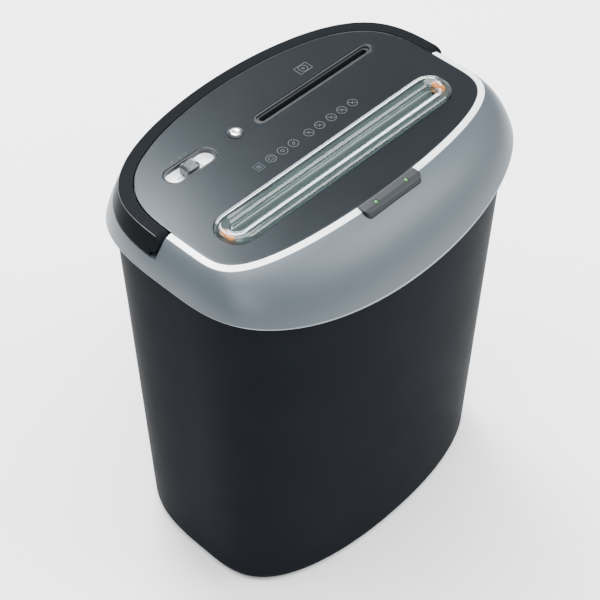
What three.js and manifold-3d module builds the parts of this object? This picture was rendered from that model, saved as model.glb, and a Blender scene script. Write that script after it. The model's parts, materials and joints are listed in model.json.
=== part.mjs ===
// A deskside paper shredder: a tapered waste bin under a lift-off head, in millimetres, +Z up.
// X runs along the paper slot, -Y is the front, and the floor is z = 0 under the middle of the plan.
// Head pieces are built with z = 0 on the deck, in a group that stands at the full height.
import * as THREE from "three";
import { mergeVertices } from "three/addons/utils/BufferGeometryUtils.js";
import Module from "manifold-3d";

const wasm = await Module();
wasm.setup();

// ---- Driving dimensions ----
const HEIGHT = 392; // floor to deck
const WIDE_Y = -20; // where the plan is widest
const PAPER_SLOT = { length: 228, width: 9 };
const WINDOW_RIM = 13; // clear guard round the slot
const WINDOW = {
  x: 0,
  y: -31,
  length: PAPER_SLOT.length + 2 * WINDOW_RIM,
  width: PAPER_SLOT.width + 2 * WINDOW_RIM,
};
const DECK_END = 20.5; // deck beyond the guard, at each end
const DECK = {
  side: WINDOW.length / 2 + DECK_END,
  front: 61,
  rear: 116,
  sideCurve: 1.92,
  endCurve: 4.28,
};
const FLARE = { side: 23, front: 46, rear: 31 }; // skirt beyond the deck
const SKIRT = {
  side: DECK.side + FLARE.side,
  front: DECK.front + FLARE.front,
  rear: DECK.rear + FLARE.rear,
  sideCurve: 2.1,
  endCurve: 3.3,
};
const RING_POINTS = 48; // corners of each plan outline
const GAP = 0.3; // between pieces that touch
const RUNNING_GAP = 0.5; // round pieces that move

const DECK_THICK = 3;
const DECK_EDGE = 0.8; // bevel round the deck
const COLLAR_WALL = 2.5;
const COLLAR_LEDGE = 4; // how far the collar reaches in under the deck
const COLLAR_DEPTH = 22; // depth of its inner wall
const SKIRT_END_DROP = 32; // deck to the skirt's lower edge, at the two ends
const SKIRT_MID_DROP = 26; // how much lower the edge hangs at the front and rear middle
const TRIM_WIDTH = 5.2;
const TRIM_FALL = 1.4; // how far the trim's face slopes down outwards
const TRIM_THICK = 2.9;

const BIN_WALL = 3;
const BIN_INSET = 6.2; // bin rim inside the skirt
const BIN_DRAFT = { side: 13.1, front: 8.1, rear: 11.3 }; // how much narrower at the floor
const BIN_FLOOR = 3.5;
const RIM_LAP = 6; // bin rim above the skirt's edge
const FOOT_RADIUS = 9;
const FOOT_HEIGHT = 4;
const FOOT_STAND = 2; // how far a foot stands proud
const FOOT_X = 105;
const FOOT_FRONT_Y = -75;
const FOOT_REAR_Y = 62;

const HANDLE_WIDTH = 10.5; // of its flat top
const HANDLE_DEPTH = 17;
const HANDLE_PROUD = 1; // outer face over the collar's skin
const PIVOT_Y = 7;
const PIVOT_DEPTH = 6.5;
const NOSE_RADIUS = 6.3;
const PIN_RADIUS = 2.5;
const PIN_LENGTH = 11;

const WINDOW_RISE = 4.8;
const WINDOW_WALL = 2.4;
const THROAT_SLOT_WIDTH = 7;
const THROAT_WALL = 3;
const FLANGE_LAP = 5; // throat flanges beyond their deck openings
const LAMP = { width: 12, depth: 4, height: 3.6 };

const DISC_SLOT = { x: 52, y: 44, length: 134, width: 11 };
const DISC_SLIT = { length: 124, width: 5 };
const DISC_GROOVE_DEPTH = 2;
const DISC_THROAT_DEPTH = 34;

const SWITCH = { x: -87, y: 44, length: 50, width: 18 };
const SWITCH_WALL = 1.5;
const SWITCH_FLOOR_DEPTH = 7.5;
const SWITCH_TRAVEL = 9; // each way
const KNOB = { length: 14, width: 11, rise: 2.6 };
const STEM = { length: 4, width: 3 };
const BUTTON = { x: -36, y: 45.5, radius: 4.6, rise: 1.8 };
const BEZEL_RADIUS = 6.6;
const BUTTON_TRAVEL = 1.5;

const POD = { width: 62, length: 11.5, depth: 8.5, rise: 0.9, corner: 5 };
const LED_RADIUS = 2;
const LED_SPACING = 34;

const CUTTER_Z = -70;
const CUTTER_RADIUS = 21;
const CUTTER_LAP = 2; // how far the two cutters' discs reach into each other
const CUTTER_SPACING = 2 * (CUTTER_RADIUS - CUTTER_LAP);
const CUTTER_CORE = CUTTER_RADIUS - 6;
const CUTTER_THICK = 8;
const CUTTER_PITCH = 19;
const HOOKS = 5; // teeth round each cutter disc
const JOURNAL_RADIUS = 6;
const BUSH_RADIUS = 10;
const FRONT_Y = WINDOW.y - CUTTER_SPACING / 2;
const REAR_Y = WINDOW.y + CUTTER_SPACING / 2;
const PLATE_X = PAPER_SLOT.length / 2 + 4; // inner face of each side plate
const PLATE_THICK = 2.5;
const PLATE_CORNER = 4; // cut off each plate's lower corners
const CUTTER_COUNT = Math.floor((2 * PLATE_X - 6) / CUTTER_PITCH);
const TIE_RADIUS = 3;
const GEAR_THICK = 6.5;
const GEAR_GAP = 1;

const SYNC = { teeth: 16, module: CUTTER_SPACING / 16 };
const DRIVE_TEETH = 40;
const STEP_SMALL_TEETH = 12;
const STEP_SMALL_MODULE = 1.5;
const STEP_LARGE_TEETH = 36;
const PINION_TEETH = 10;
const STEP_LARGE_MODULE = 1.25;
const DISC_PAIR = { teeth: 16, module: 1.25 };
const DISC_Z = -64;
const DISC_ROLL_RADIUS = 11;
const DISC_CORE = 7.5;
const DISC_JOURNAL = 4;
// The most teeth that keep the two disc shafts under the disc slot.
const discPairReach = DISC_PAIR.teeth * DISC_PAIR.module;
const toDiscShaft = DISC_SLOT.y - discPairReach / 2 - REAR_Y;
const DISC_DRIVE_TEETH = Math.floor((2 * toDiscShaft) / SYNC.module - SYNC.teeth);

const MOTOR_Y = 54;
const MOTOR_Z = CUTTER_Z;
const MOTOR_RADIUS = 28;
const MOTOR_LENGTH = 92;
const MOTOR_AXLE = 3;
const DISC_BRACKET_X = -PLATE_X + GAP + MOTOR_LENGTH + 7.2 + PLATE_THICK;

const BASE_CLEARANCE = 2.5; // head base to bin wall
const BASE_WALL = 2.5;
const BASE_FLOOR = 3;
const BASE_TOP = CUTTER_Z + 24;
const BASE_BOTTOM = CUTTER_Z - CUTTER_RADIUS - 17;
const PLATE = {
  front: FRONT_Y - CUTTER_RADIUS - 5,
  rear: MOTOR_Y + 20,
  top: CUTTER_Z + 30,
  bottom: BASE_BOTTOM + BASE_FLOOR + 0.4,
};
const TIE_RODS = [
  [PLATE.front + 7, PLATE.top - 6],
  [PLATE.rear - 6, PLATE.bottom + 5.6],
];
const OUTLET = { x: PLATE_X - 6, front: FRONT_Y - CUTTER_RADIUS + 1, rear: REAR_Y + CUTTER_RADIUS - 1 };
const DISC_OUTLET = {
  left: DISC_SLOT.x - 60,
  right: DISC_SLOT.x + 60,
  front: DISC_SLOT.y - 26,
  rear: DISC_SLOT.y + 18,
};
const POST_FRONT = { x: PLATE_X + 16, y: WIDE_Y - SKIRT.front + 61 };
const POST_REAR = { x: 70, y: WIDE_Y + SKIRT.rear - 34 };
const POSTS = [
  [-POST_FRONT.x, POST_FRONT.y],
  [POST_FRONT.x, POST_FRONT.y],
  [-POST_REAR.x, POST_REAR.y],
  [POST_REAR.x, POST_REAR.y],
];
const POST_RADIUS = 4.5;
const SCREW_RADIUS = 1.75;
const SCREW_LENGTH = 15;

const BOARD = {
  left: SWITCH.x - SWITCH.length / 2,
  right: BUTTON.x + 14,
  front: SWITCH.y - 20,
  rear: SWITCH.y + 18,
  top: -26.4,
  thick: 1.6,
};
const SLIDE_SWITCH = { length: 26, width: 10, height: 6 };
const TACT_SWITCH = { size: 8, height: 3 };
const CAPACITOR = { length: 22, radius: 5 };
const PLUNGER = {
  y: WIDE_Y + SKIRT.rear - 29,
  radius: 2.5,
  tip: BASE_BOTTOM - 4.5,
  top: BASE_BOTTOM + 15,
};
const PLUNGER_TRAVEL = 3;
const INTERLOCK = { length: 20, width: 14, height: 18 };
const RIB = { width: 12, front: PLUNGER.y - 8, depth: 24 };
const GLAND = { x: 60, radius: 7, bore: 3.5, flange: 9, boss: 11, thick: 2 };

// ---- Colours ----
const BLACK = [0x24282c, 0.5, 0.1];
const SILVER = [0x76838b, 0.4, 0.6];
const BRIGHT = [0xe8ecef, 0.25, 0.7];
const GRAPHITE = [0x4d5357, 0.4, 0.5];
const CLEAR = [0xa9c0b8, 0.1, 0];
const AMBER = [0xff9a3c, 0.4, 0];
const GREEN = [0x3fae55, 0.4, 0];
const WHITE = [0xf0f1f2, 0.5, 0];
const STEEL = [0x9a9fa3, 0.4, 0.9];
const NYLON = [0xd8d4c4, 0.6, 0];
const BRASS = [0xb48f4a, 0.4, 0.9];
const RUBBER = [0x1a1b1c, 0.9, 0];
const BOARD_GREEN = [0x2f6b45, 0.6, 0];

// ---- Solids ----
function solid(geometry) {
  const bare = geometry.clone();
  bare.deleteAttribute("normal");
  bare.deleteAttribute("uv");
  const merged = mergeVertices(bare, 1e-4);
  return new wasm.Manifold(
    new wasm.Mesh({
      numProp: 3,
      vertProperties: new Float32Array(merged.attributes.position.array),
      triVerts: new Uint32Array(merged.index.array),
    }),
  );
}

function geometryOf(body) {
  const mesh = body.getMesh();
  const geometry = new THREE.BufferGeometry();
  const places = new THREE.BufferAttribute(new Float32Array(mesh.vertProperties), 3);
  geometry.setAttribute("position", places);
  geometry.setIndex(new THREE.BufferAttribute(new Uint32Array(mesh.triVerts), 1));
  return geometry;
}

const joined = (...shapes) => shapes.map(solid).reduce((all, next) => all.add(next));
const cutBy = (body, ...shapes) =>
  shapes.map(solid).reduce((left, next) => left.subtract(next), body);

function box(x0, x1, y0, y1, z0, z1) {
  const geometry = new THREE.BoxGeometry(x1 - x0, y1 - y0, z1 - z0);
  return geometry.translate((x0 + x1) / 2, (y0 + y1) / 2, (z0 + z1) / 2);
}

// Skin through rings of equal count; an open loft gets a fan over each end.
function loft(rings, closed = false) {
  const count = rings[0].length;
  const points = rings.flat();
  const faces = [];
  const bands = closed ? rings.length : rings.length - 1;
  for (let band = 0; band < bands; band++) {
    const above = ((band + 1) % rings.length) * count;
    for (let i = 0; i < count; i++) {
      const next = (i + 1) % count;
      faces.push(band * count + i, band * count + next, above + next);
      faces.push(band * count + i, above + next, above + i);
    }
  }
  if (!closed) {
    const last = (rings.length - 1) * count;
    for (const ring of [rings[0], rings[rings.length - 1]]) {
      const centre = ring.reduce((sum, p) => sum.add(p), new THREE.Vector3());
      points.push(centre.divideScalar(count));
    }
    for (let i = 0; i < count; i++) {
      const next = (i + 1) % count;
      faces.push(points.length - 2, next, i);
      faces.push(points.length - 1, last + i, last + next);
    }
  }
  const geometry = new THREE.BufferGeometry().setFromPoints(points);
  geometry.setIndex(faces);
  return geometry;
}

// ---- Plan outlines ----
const power = (value, exponent) => Math.sign(value) * Math.abs(value) ** exponent;

// The outline from the front middle, anticlockwise from above, evenly spaced.
function outline(size, grow = 0) {
  const steps = 480;
  const points = [];
  for (let i = 0; i <= steps; i++) {
    const turn = (i / steps) * 2 * Math.PI - Math.PI / 2;
    const reach = (Math.sin(turn) < 0 ? size.front : size.rear) + grow;
    const x = (size.side + grow) * power(Math.cos(turn), 2 / size.sideCurve);
    const y = WIDE_Y + reach * power(Math.sin(turn), 2 / size.endCurve);
    points.push(new THREE.Vector2(x, y));
  }
  return new THREE.Path(points).getSpacedPoints(RING_POINTS).slice(0, RING_POINTS);
}

const ring = (size, grow, z) => outline(size, grow).map((p) => new THREE.Vector3(p.x, p.y, z));

// ---- Collar skin: from the trim's outer edge down to the skirt's lower edge ----
const TRIM_OUT = GAP + TRIM_WIDTH;
const SKIN_TOP = -TRIM_FALL - GAP;
const skirtDrop = (x) => SKIRT_END_DROP + SKIRT_MID_DROP * (1 - (x / SKIRT.side) ** 2);
const skinOut = (s) => 0.5 * s + 0.5 * Math.sin((s * Math.PI) / 2);
const skinDown = (s) => 0.5 * s + 0.5 * (1 - Math.cos((s * Math.PI) / 2));
const skinInner = outline(DECK, TRIM_OUT + GAP);
const skinOuter = outline(SKIRT);

// A ring on the skin at share s, or at a share for each corner, moved out and up.
function skinRing(share, grow = 0, lift = 0) {
  const inner = outline(DECK, TRIM_OUT + GAP + grow);
  const outer = outline(SKIRT, grow);
  return inner.map((p, i) => {
    const s = typeof share === "function" ? share(i) : share;
    const at = p.clone().lerp(outer[i], skinOut(s));
    const edge = skinInner[i].clone().lerp(skinOuter[i], skinOut(s));
    const z = SKIN_TOP - skinDown(s) * (skirtDrop(edge.x) + SKIN_TOP);
    return new THREE.Vector3(at.x, at.y, z + lift);
  });
}

// The share at which the skin has fallen to a depth, at corner i.
function shareAtDepth(depth) {
  return (i) => {
    let low = 0;
    let high = 1;
    for (let step = 0; step < 24; step++) {
      const s = (low + high) / 2;
      const x = skinInner[i].clone().lerp(skinOuter[i], skinOut(s)).x;
      if (-SKIN_TOP + skinDown(s) * (skirtDrop(x) + SKIN_TOP) < depth) low = s;
      else high = s;
    }
    return low;
  };
}

// ---- Stadium outlines ----
const ARC_POINTS = 10;

function stadium(size, inset = 0) {
  const half = (size.length - size.width) / 2;
  const radius = size.width / 2 - inset;
  const points = [];
  for (const side of [1, -1]) {
    for (let i = 0; i <= ARC_POINTS; i++) {
      const turn = (i / ARC_POINTS - 0.5) * Math.PI + (side < 0 ? Math.PI : 0);
      const x = (size.x ?? 0) + side * half + radius * Math.cos(turn);
      points.push(new THREE.Vector2(x, (size.y ?? 0) + radius * Math.sin(turn)));
    }
  }
  return points;
}

const stadiumRing = (size, inset, z) =>
  stadium(size, inset).map((p) => new THREE.Vector3(p.x, p.y, z));
const stadiumBlock = (size, inset, z0, z1) =>
  loft([stadiumRing(size, inset, z0), stadiumRing(size, inset, z1)]);

// ---- Bars and gears along X, with their profile in Y and Z ----
const ALONG_X = new THREE.Matrix4().makeBasis(
  new THREE.Vector3(0, 1, 0),
  new THREE.Vector3(0, 0, 1),
  new THREE.Vector3(1, 0, 0),
);

function bar(points, x0, x1, hole = 0) {
  const shape = new THREE.Shape(points);
  if (hole) shape.holes.push(new THREE.Path(circle(hole, 12).reverse()));
  const geometry = new THREE.ExtrudeGeometry(shape, { depth: x1 - x0, bevelEnabled: false });
  return geometry.translate(0, 0, x0).applyMatrix4(ALONG_X);
}

function circle(radius, sides, first = 0) {
  const points = [];
  for (let i = 0; i < sides; i++) {
    const turn = first + (i / sides) * 2 * Math.PI;
    points.push(new THREE.Vector2(radius * Math.cos(turn), radius * Math.sin(turn)));
  }
  return points;
}

const rod = (radius, x0, x1, sides = 12, hole = 0) => bar(circle(radius, sides), x0, x1, hole);
const post = (radius, x, y, z0, z1, sides = 16) =>
  new THREE.CylinderGeometry(radius, radius, z1 - z0, sides)
    .rotateX(Math.PI / 2)
    .translate(x, y, (z0 + z1) / 2);

// Straight-sided teeth; toothAt is the angle of one tooth from +Y towards +Z.
function gear(teeth, module, x0, x1, hole, toothAt) {
  const pitch = (2 * Math.PI) / teeth;
  const tip = (teeth * module) / 2 + 0.85 * module;
  const root = (teeth * module) / 2 - 1.15 * module;
  const points = [];
  for (let i = 0; i < teeth; i++) {
    const middle = toothAt + i * pitch;
    const corners = [
      [root, -0.3],
      [tip, -0.12],
      [tip, 0.12],
      [root, 0.3],
    ];
    for (const [radius, share] of corners) {
      const turn = middle + share * pitch;
      points.push(new THREE.Vector2(radius * Math.cos(turn), radius * Math.sin(turn)));
    }
  }
  return bar(points, x0, x1, hole);
}

// ---- Scene graph ----
const shredder = new THREE.Group();
const bin = new THREE.Group();
const head = new THREE.Group();
head.position.z = HEIGHT;
shredder.add(bin, head);

function add(group, name, shape, [color, roughness, metalness]) {
  const geometry = shape.isBufferGeometry ? shape : geometryOf(shape);
  const material = new THREE.MeshStandardMaterial({ color, roughness, metalness });
  const mesh = new THREE.Mesh(geometry, material);
  mesh.name = name;
  group.add(mesh);
  return mesh;
}

const SIDES = [
  ["left", -1],
  ["right", 1],
];

function at(parent, x, y, z) {
  const group = new THREE.Group();
  group.position.set(x, y, z);
  parent.add(group);
  return group;
}

// ---- Waste bin and feet ----
const BIN_TOP = HEIGHT - SKIRT_END_DROP + RIM_LAP;

function binPlan(z) {
  const drawnIn = 1 - z / BIN_TOP;
  return {
    ...SKIRT,
    side: SKIRT.side - BIN_INSET - BIN_DRAFT.side * drawnIn,
    front: SKIRT.front - BIN_INSET - BIN_DRAFT.front * drawnIn,
    rear: SKIRT.rear - BIN_INSET - BIN_DRAFT.rear * drawnIn,
  };
}

const binRing = (grow, z) => ring(binPlan(z), grow, z);
const rimRing = (grow) => {
  const points = ring(binPlan(BIN_TOP), grow, 0);
  points.forEach((p) => (p.z = HEIGHT - skirtDrop(p.x) + RIM_LAP));
  return points;
};

const footPlaces = [
  ["front_left", -FOOT_X, FOOT_FRONT_Y],
  ["front_right", FOOT_X, FOOT_FRONT_Y],
  ["rear_left", -FOOT_X, FOOT_REAR_Y],
  ["rear_right", FOOT_X, FOOT_REAR_Y],
];

function wasteBin() {
  const floor = FOOT_STAND + BIN_FLOOR;
  const shell = loft([
    binRing(-6, FOOT_STAND),
    binRing(-2, FOOT_STAND + 1.5),
    binRing(-0.4, FOOT_STAND + 5),
    binRing(0, FOOT_STAND + 10),
    rimRing(0),
    rimRing(-BIN_WALL),
    binRing(-BIN_WALL, floor + 8),
    binRing(-BIN_WALL - 5, floor),
  ]);
  const ribTop = HEIGHT + PLUNGER.tip - 0.5;
  const wallY = WIDE_Y + binPlan(ribTop).rear - BIN_WALL / 2;
  const ribFoot = [
    new THREE.Vector2(RIB.front, ribTop),
    new THREE.Vector2(RIB.front, ribTop - 3),
    new THREE.Vector2(wallY - 1, ribTop - RIB.depth),
    new THREE.Vector2(wallY, ribTop - RIB.depth),
    new THREE.Vector2(wallY, ribTop),
  ];
  const rib = bar(ribFoot.reverse(), -RIB.width / 2, RIB.width / 2);
  const pockets = footPlaces.map(([, x, y]) => post(FOOT_RADIUS + GAP, x, y, 0, FOOT_HEIGHT + GAP));
  return cutBy(solid(shell).add(solid(rib)), ...pockets);
}

add(bin, "waste_bin", wasteBin(), BLACK);
for (const [place, x, y] of footPlaces) {
  add(bin, `foot_${place}`, post(FOOT_RADIUS, x, y, 0, FOOT_HEIGHT), RUBBER);
}

// ---- Handle envelope, shared by the handle and its channel ----
const HANDLE_IN = 2 * GAP;
const channelFloor = -(HANDLE_DEPTH + RUNNING_GAP + GAP);
const channelEnd = PIVOT_Y - NOSE_RADIUS - RUNNING_GAP;
const FAR = 400;

function handleChannel() {
  const band = loft(
    [
      ring(SKIRT, 20, channelFloor),
      ring(SKIRT, 20, 20),
      ring(DECK, GAP / 3, 20),
      ring(DECK, GAP / 3, channelFloor),
    ],
    true,
  );
  return geometryOf(cutBy(solid(band), box(-FAR, FAR, -FAR, channelEnd, -FAR, FAR)));
}

// ---- Indicator pod on the front rim ----
const POD_REAR = WIDE_Y - DECK.front - GAP;

function podBlock(grow) {
  const half = POD.width / 2 + grow;
  const front = POD_REAR - POD.length - grow;
  const rear = POD_REAR + (grow ? 1 : 0);
  const round = POD.corner;
  const plan = new THREE.Shape();
  plan.moveTo(half, rear);
  plan.lineTo(-half, rear);
  plan.lineTo(-half, front + round);
  plan.absarc(-half + round, front + round, round, Math.PI, 1.5 * Math.PI);
  plan.absarc(half - round, front + round, round, 1.5 * Math.PI, 2 * Math.PI);
  const height = POD.depth + POD.rise + 2 * grow;
  const block = new THREE.ExtrudeGeometry(plan, { depth: height, bevelEnabled: false, curveSegments: 5 });
  return block.translate(0, 0, -POD.depth - grow);
}

function indicatorPod() {
  const front = POD_REAR - POD.length;
  const side = [
    [POD_REAR, -POD.depth],
    [POD_REAR, 0.4],
    [POD_REAR - 2, POD.rise],
    [front + 4.5, POD.rise],
    [front + 1.4, -0.8],
    [front, -3.5],
    [front, -POD.depth],
  ];
  const slice = bar(
    side.map(([y, z]) => new THREE.Vector2(y, z)),
    -POD.width / 2 - 1,
    POD.width / 2 + 1,
  );
  return solid(podBlock(0)).intersect(solid(slice));
}

const ledPlaces = [
  ["left", -LED_SPACING / 2],
  ["right", LED_SPACING / 2],
];
const LED_Y = POD_REAR - POD.length / 2;

// ---- Collar, trim, deck and handle ----
const pinSpan = (side) => {
  const outer = DECK.side + HANDLE_IN + 4;
  return side < 0 ? [-outer, -outer + PIN_LENGTH] : [outer - PIN_LENGTH, outer];
};
const pinAt = (radius, x0, x1) => rod(radius, x0, x1).translate(0, PIVOT_Y, -PIVOT_DEPTH);
const pinHoles = [-1, 1].map((side) => {
  const [x0, x1] = pinSpan(side);
  return pinAt(PIN_RADIUS + GAP, x0 - GAP, x1 + GAP);
});

// The cord leaves through a flat boss that stands out to the skin's place at its lower edge.
const glandDepth = skirtDrop(GLAND.x) - RIM_LAP - GLAND.boss - 2;
const glandEdge = skinRing(shareAtDepth(glandDepth + GLAND.boss)).filter((p) => p.y > 0);
const innerX = GLAND.x - GLAND.flange; // where the rear wall stands furthest out behind the flange
const pastEdge = glandEdge.findIndex((p) => p.x < innerX);
const [outerPoint, innerPoint] = [glandEdge[pastEdge - 1], glandEdge[pastEdge]];
const edgeShare = (outerPoint.x - innerX) / (outerPoint.x - innerPoint.x);
const BOSS_FACE = outerPoint.y + edgeShare * (innerPoint.y - outerPoint.y);
const gland = (radius, y0, y1) =>
  new THREE.CylinderGeometry(radius, radius, y1 - y0, 16).translate(GLAND.x, (y0 + y1) / 2, -glandDepth);

function collar() {
  const shares = [1, 0.85, 0.65, 0.45, 0.22, 0];
  const ledgeZ = -DECK_THICK - GAP;
  const shell = loft(
    [
      ...shares.map((s) => skinRing(s)),
      ring(DECK, TRIM_OUT + GAP, ledgeZ),
      ring(DECK, -COLLAR_LEDGE, ledgeZ),
      ring(DECK, -COLLAR_LEDGE, -COLLAR_DEPTH),
      skinRing(shareAtDepth(COLLAR_DEPTH - 3), -COLLAR_WALL).map((p) => p.setZ(-COLLAR_DEPTH)),
      skinRing(0.85, -COLLAR_WALL, -2),
      skinRing(1, -COLLAR_WALL),
    ],
    true,
  );
  const postFoot = BASE_BOTTOM + BASE_FLOOR + GAP;
  const posts = POSTS.map(([x, y]) => post(POST_RADIUS, x, y, postFoot, -COLLAR_DEPTH + 2, 12));
  const pilots = POSTS.map(([x, y]) =>
    post(SCREW_RADIUS + GAP, x, y, BASE_BOTTOM, BASE_BOTTOM + SCREW_LENGTH + 2, 10),
  );
  const boss = gland(GLAND.boss, BOSS_FACE - 8, BOSS_FACE);
  const whole = [...posts, boss].map(solid).reduce((all, next) => all.add(next), solid(shell));
  const glandHole = gland(GLAND.radius + GAP, BOSS_FACE - 60, BOSS_FACE + 20);
  return cutBy(whole, handleChannel(), podBlock(GAP), ...pinHoles, ...pilots, glandHole);
}

// The trim runs from the handle's end to the pod, on each side.
function rimTrim(side) {
  const low = -TRIM_THICK;
  const [x0, x1] = side < 0 ? [0, FAR] : [-FAR, 0];
  const otherHalf = box(x0, x1, -FAR, FAR, -FAR, FAR);
  const band = loft(
    [
      ring(DECK, TRIM_OUT, low),
      ring(DECK, TRIM_OUT, -TRIM_FALL),
      ring(DECK, GAP, -0.2),
      ring(DECK, GAP, low),
    ],
    true,
  );
  const behind = box(-FAR, FAR, channelEnd - GAP, FAR, -FAR, FAR);
  return cutBy(solid(band), podBlock(GAP), behind, otherHalf);
}

const bossPlaces = [BOARD.left + 4, BOARD.right - 4].flatMap((x) => [
  [x, BOARD.front + 4],
  [x, BOARD.rear - 4],
]);

function topPanel() {
  const plate = loft([
    ring(DECK, 0, -DECK_THICK),
    ring(DECK, 0, -DECK_EDGE),
    ring(DECK, -DECK_EDGE, 0),
  ]);
  const bosses = bossPlaces.map(([x, y]) => post(3, x, y, BOARD.top + GAP, -1, 8));
  const openings = [WINDOW, DISC_SLOT, SWITCH].map((size) => stadiumBlock(size, -GAP, -9, 9));
  const buttonHole = post(BEZEL_RADIUS - 1 + GAP, BUTTON.x, BUTTON.y, -9, 9);
  return cutBy(joined(plate, ...bosses), ...openings, buttonHole);
}

function carryHandle() {
  const depth = HANDLE_DEPTH;
  const band = loft(
    [
      skinRing(shareAtDepth(depth - 2), HANDLE_PROUD).map((p) => p.setZ(-depth)),
      skinRing(shareAtDepth(depth - 3), HANDLE_PROUD).map((p) => p.setZ(-depth + 3)),
      ring(DECK, HANDLE_IN + HANDLE_WIDTH, -DECK_EDGE),
      ring(DECK, HANDLE_IN + HANDLE_WIDTH - DECK_EDGE, 0),
      ring(DECK, HANDLE_IN, 0),
      ring(DECK, HANDLE_IN, -depth),
    ],
    true,
  );
  const nose = rod(NOSE_RADIUS, -FAR, FAR).translate(0, PIVOT_Y, -PIVOT_DEPTH);
  const ahead = cutBy(solid(box(-FAR, FAR, -FAR, PIVOT_Y, -FAR, FAR)), nose);
  return cutBy(solid(band).subtract(ahead), ...pinHoles);
}

add(head, "collar", collar(), SILVER);
add(head, "rim_trim_left", rimTrim(-1), BRIGHT);
add(head, "rim_trim_right", rimTrim(1), BRIGHT);
add(head, "top_panel", topPanel(), GRAPHITE);
add(head, "carry_handle", carryHandle(), BLACK);
for (const [name, side] of SIDES) {
  add(head, `handle_pin_${name}`, pinAt(PIN_RADIUS, ...pinSpan(side)), STEEL);
}

add(
  head,
  "indicator_pod",
  cutBy(
    indicatorPod(),
    ...ledPlaces.map(([, x]) => post(LED_RADIUS + GAP, x, LED_Y, -4 - GAP, 9, 12)),
  ),
  GRAPHITE,
);
for (const [name, x] of ledPlaces) {
  add(head, `led_${name}`, post(LED_RADIUS, x, LED_Y, -4, POD.rise + 0.4, 12), GREEN);
}

// ---- Paper feed: clear guard, throat and lamps ----
function feedWindow() {
  const lip = WINDOW_RIM;
  const wall = WINDOW_WALL;
  const top = WINDOW_RISE;
  const base = -DECK_THICK;
  const profile = [
    [0, base],
    [0, 1.2],
    [1.5, top - 1.4],
    [5, top],
    [lip - 4.5, top - 0.4],
    [lip - 1, top - 2.6],
    [lip, -0.5],
    [lip, base],
    [lip - wall, base],
    [lip - wall, 0],
    [lip - wall - 2.2, top - wall - 0.8],
    [5, top - wall],
    [wall + 0.4, 1.2],
    [wall, base],
  ];
  return loft(
    profile.map(([inset, z]) => stadiumRing(WINDOW, inset, z)),
    true,
  );
}

const FLANGE_TOP = -DECK_THICK - GAP;
const THROAT_BOTTOM = CUTTER_Z + 20;
const PAPER_GUIDE = { x: WINDOW.x, y: WINDOW.y, length: PAPER_SLOT.length, width: THROAT_SLOT_WIDTH };

function feedThroat() {
  const half = PAPER_GUIDE.length / 2;
  const reach = THROAT_SLOT_WIDTH / 2 + THROAT_WALL;
  const flange = stadiumBlock(WINDOW, -FLANGE_LAP, FLANGE_TOP - 3, FLANGE_TOP);
  const walls = box(
    WINDOW.x - half - THROAT_WALL,
    WINDOW.x + half + THROAT_WALL,
    WINDOW.y - reach,
    WINDOW.y + reach,
    THROAT_BOTTOM,
    FLANGE_TOP - 1,
  );
  return cutBy(joined(flange, walls), stadiumBlock(PAPER_GUIDE, 0, -FAR, FAR));
}

add(head, "feed_window", feedWindow(), CLEAR);
add(head, "feed_throat", feedThroat(), BLACK);
for (const [name, side] of SIDES) {
  const x = WINDOW.x + side * (WINDOW.length / 2 - WINDOW_RIM / 2 - 1);
  const y = WINDOW.y;
  const lamp = box(
    x - LAMP.depth / 2,
    x + LAMP.depth / 2,
    y - LAMP.width / 2,
    y + LAMP.width / 2,
    FLANGE_TOP + GAP,
    FLANGE_TOP + GAP + LAMP.height,
  );
  add(head, `feed_lamp_${name}`, lamp, AMBER);
}

// ---- Disc feed ----
const DISC_GUIDE = { ...DISC_SLOT, ...DISC_SLIT };
const DISC_GROOVE = { ...DISC_SLOT, length: DISC_SLOT.length - 4, width: DISC_SLOT.width - 3 };

function discThroat() {
  const flange = stadiumBlock(DISC_SLOT, -FLANGE_LAP, FLANGE_TOP - 3, FLANGE_TOP);
  const body = stadiumBlock(DISC_SLOT, 0, -DISC_THROAT_DEPTH, -GAP);
  return cutBy(
    joined(flange, body),
    stadiumBlock(DISC_GROOVE, 0, -DISC_GROOVE_DEPTH, FAR),
    stadiumBlock(DISC_GUIDE, 0, -FAR, FAR),
  );
}

add(head, "disc_throat", discThroat(), BLACK);

// ---- Mode switch and power button ----
const WELL_BOTTOM = -SWITCH_FLOOR_DEPTH - SWITCH_WALL;

function switchWell() {
  const cup = stadiumBlock(SWITCH, 0, WELL_BOTTOM, -GAP);
  const flange = stadiumBlock(SWITCH, -2, WELL_BOTTOM, FLANGE_TOP);
  const slot = { ...SWITCH, length: STEM.length + 2 * SWITCH_TRAVEL + 4, width: STEM.width + 2 };
  return cutBy(
    joined(cup, flange),
    stadiumBlock(SWITCH, SWITCH_WALL, -SWITCH_FLOOR_DEPTH, FAR),
    stadiumBlock(slot, 0, -FAR, FAR),
  );
}

const SLIDE_SWITCH_TOP = BOARD.top + SLIDE_SWITCH.height;

function modeKnob() {
  const rings = [
    [0, -SWITCH_FLOOR_DEPTH + GAP],
    [0, KNOB.rise - 2],
    [1.8, KNOB.rise],
  ].map(([inset, z]) => {
    const x = KNOB.length / 2 - inset;
    const y = KNOB.width / 2 - inset;
    const corner = 1.5;
    return [
      [x - corner, -y],
      [x, -y + corner],
      [x, y - corner],
      [x - corner, y],
      [-x + corner, y],
      [-x, y - corner],
      [-x, -y + corner],
      [-x + corner, -y],
    ].map(([px, py]) => new THREE.Vector3(px, py, z));
  });
  const half = { x: STEM.length / 2, y: STEM.width / 2 };
  const stem = box(-half.x, half.x, -half.y, half.y, SLIDE_SWITCH_TOP + GAP, -SWITCH_FLOOR_DEPTH + 1);
  return joined(loft(rings), stem);
}

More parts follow.
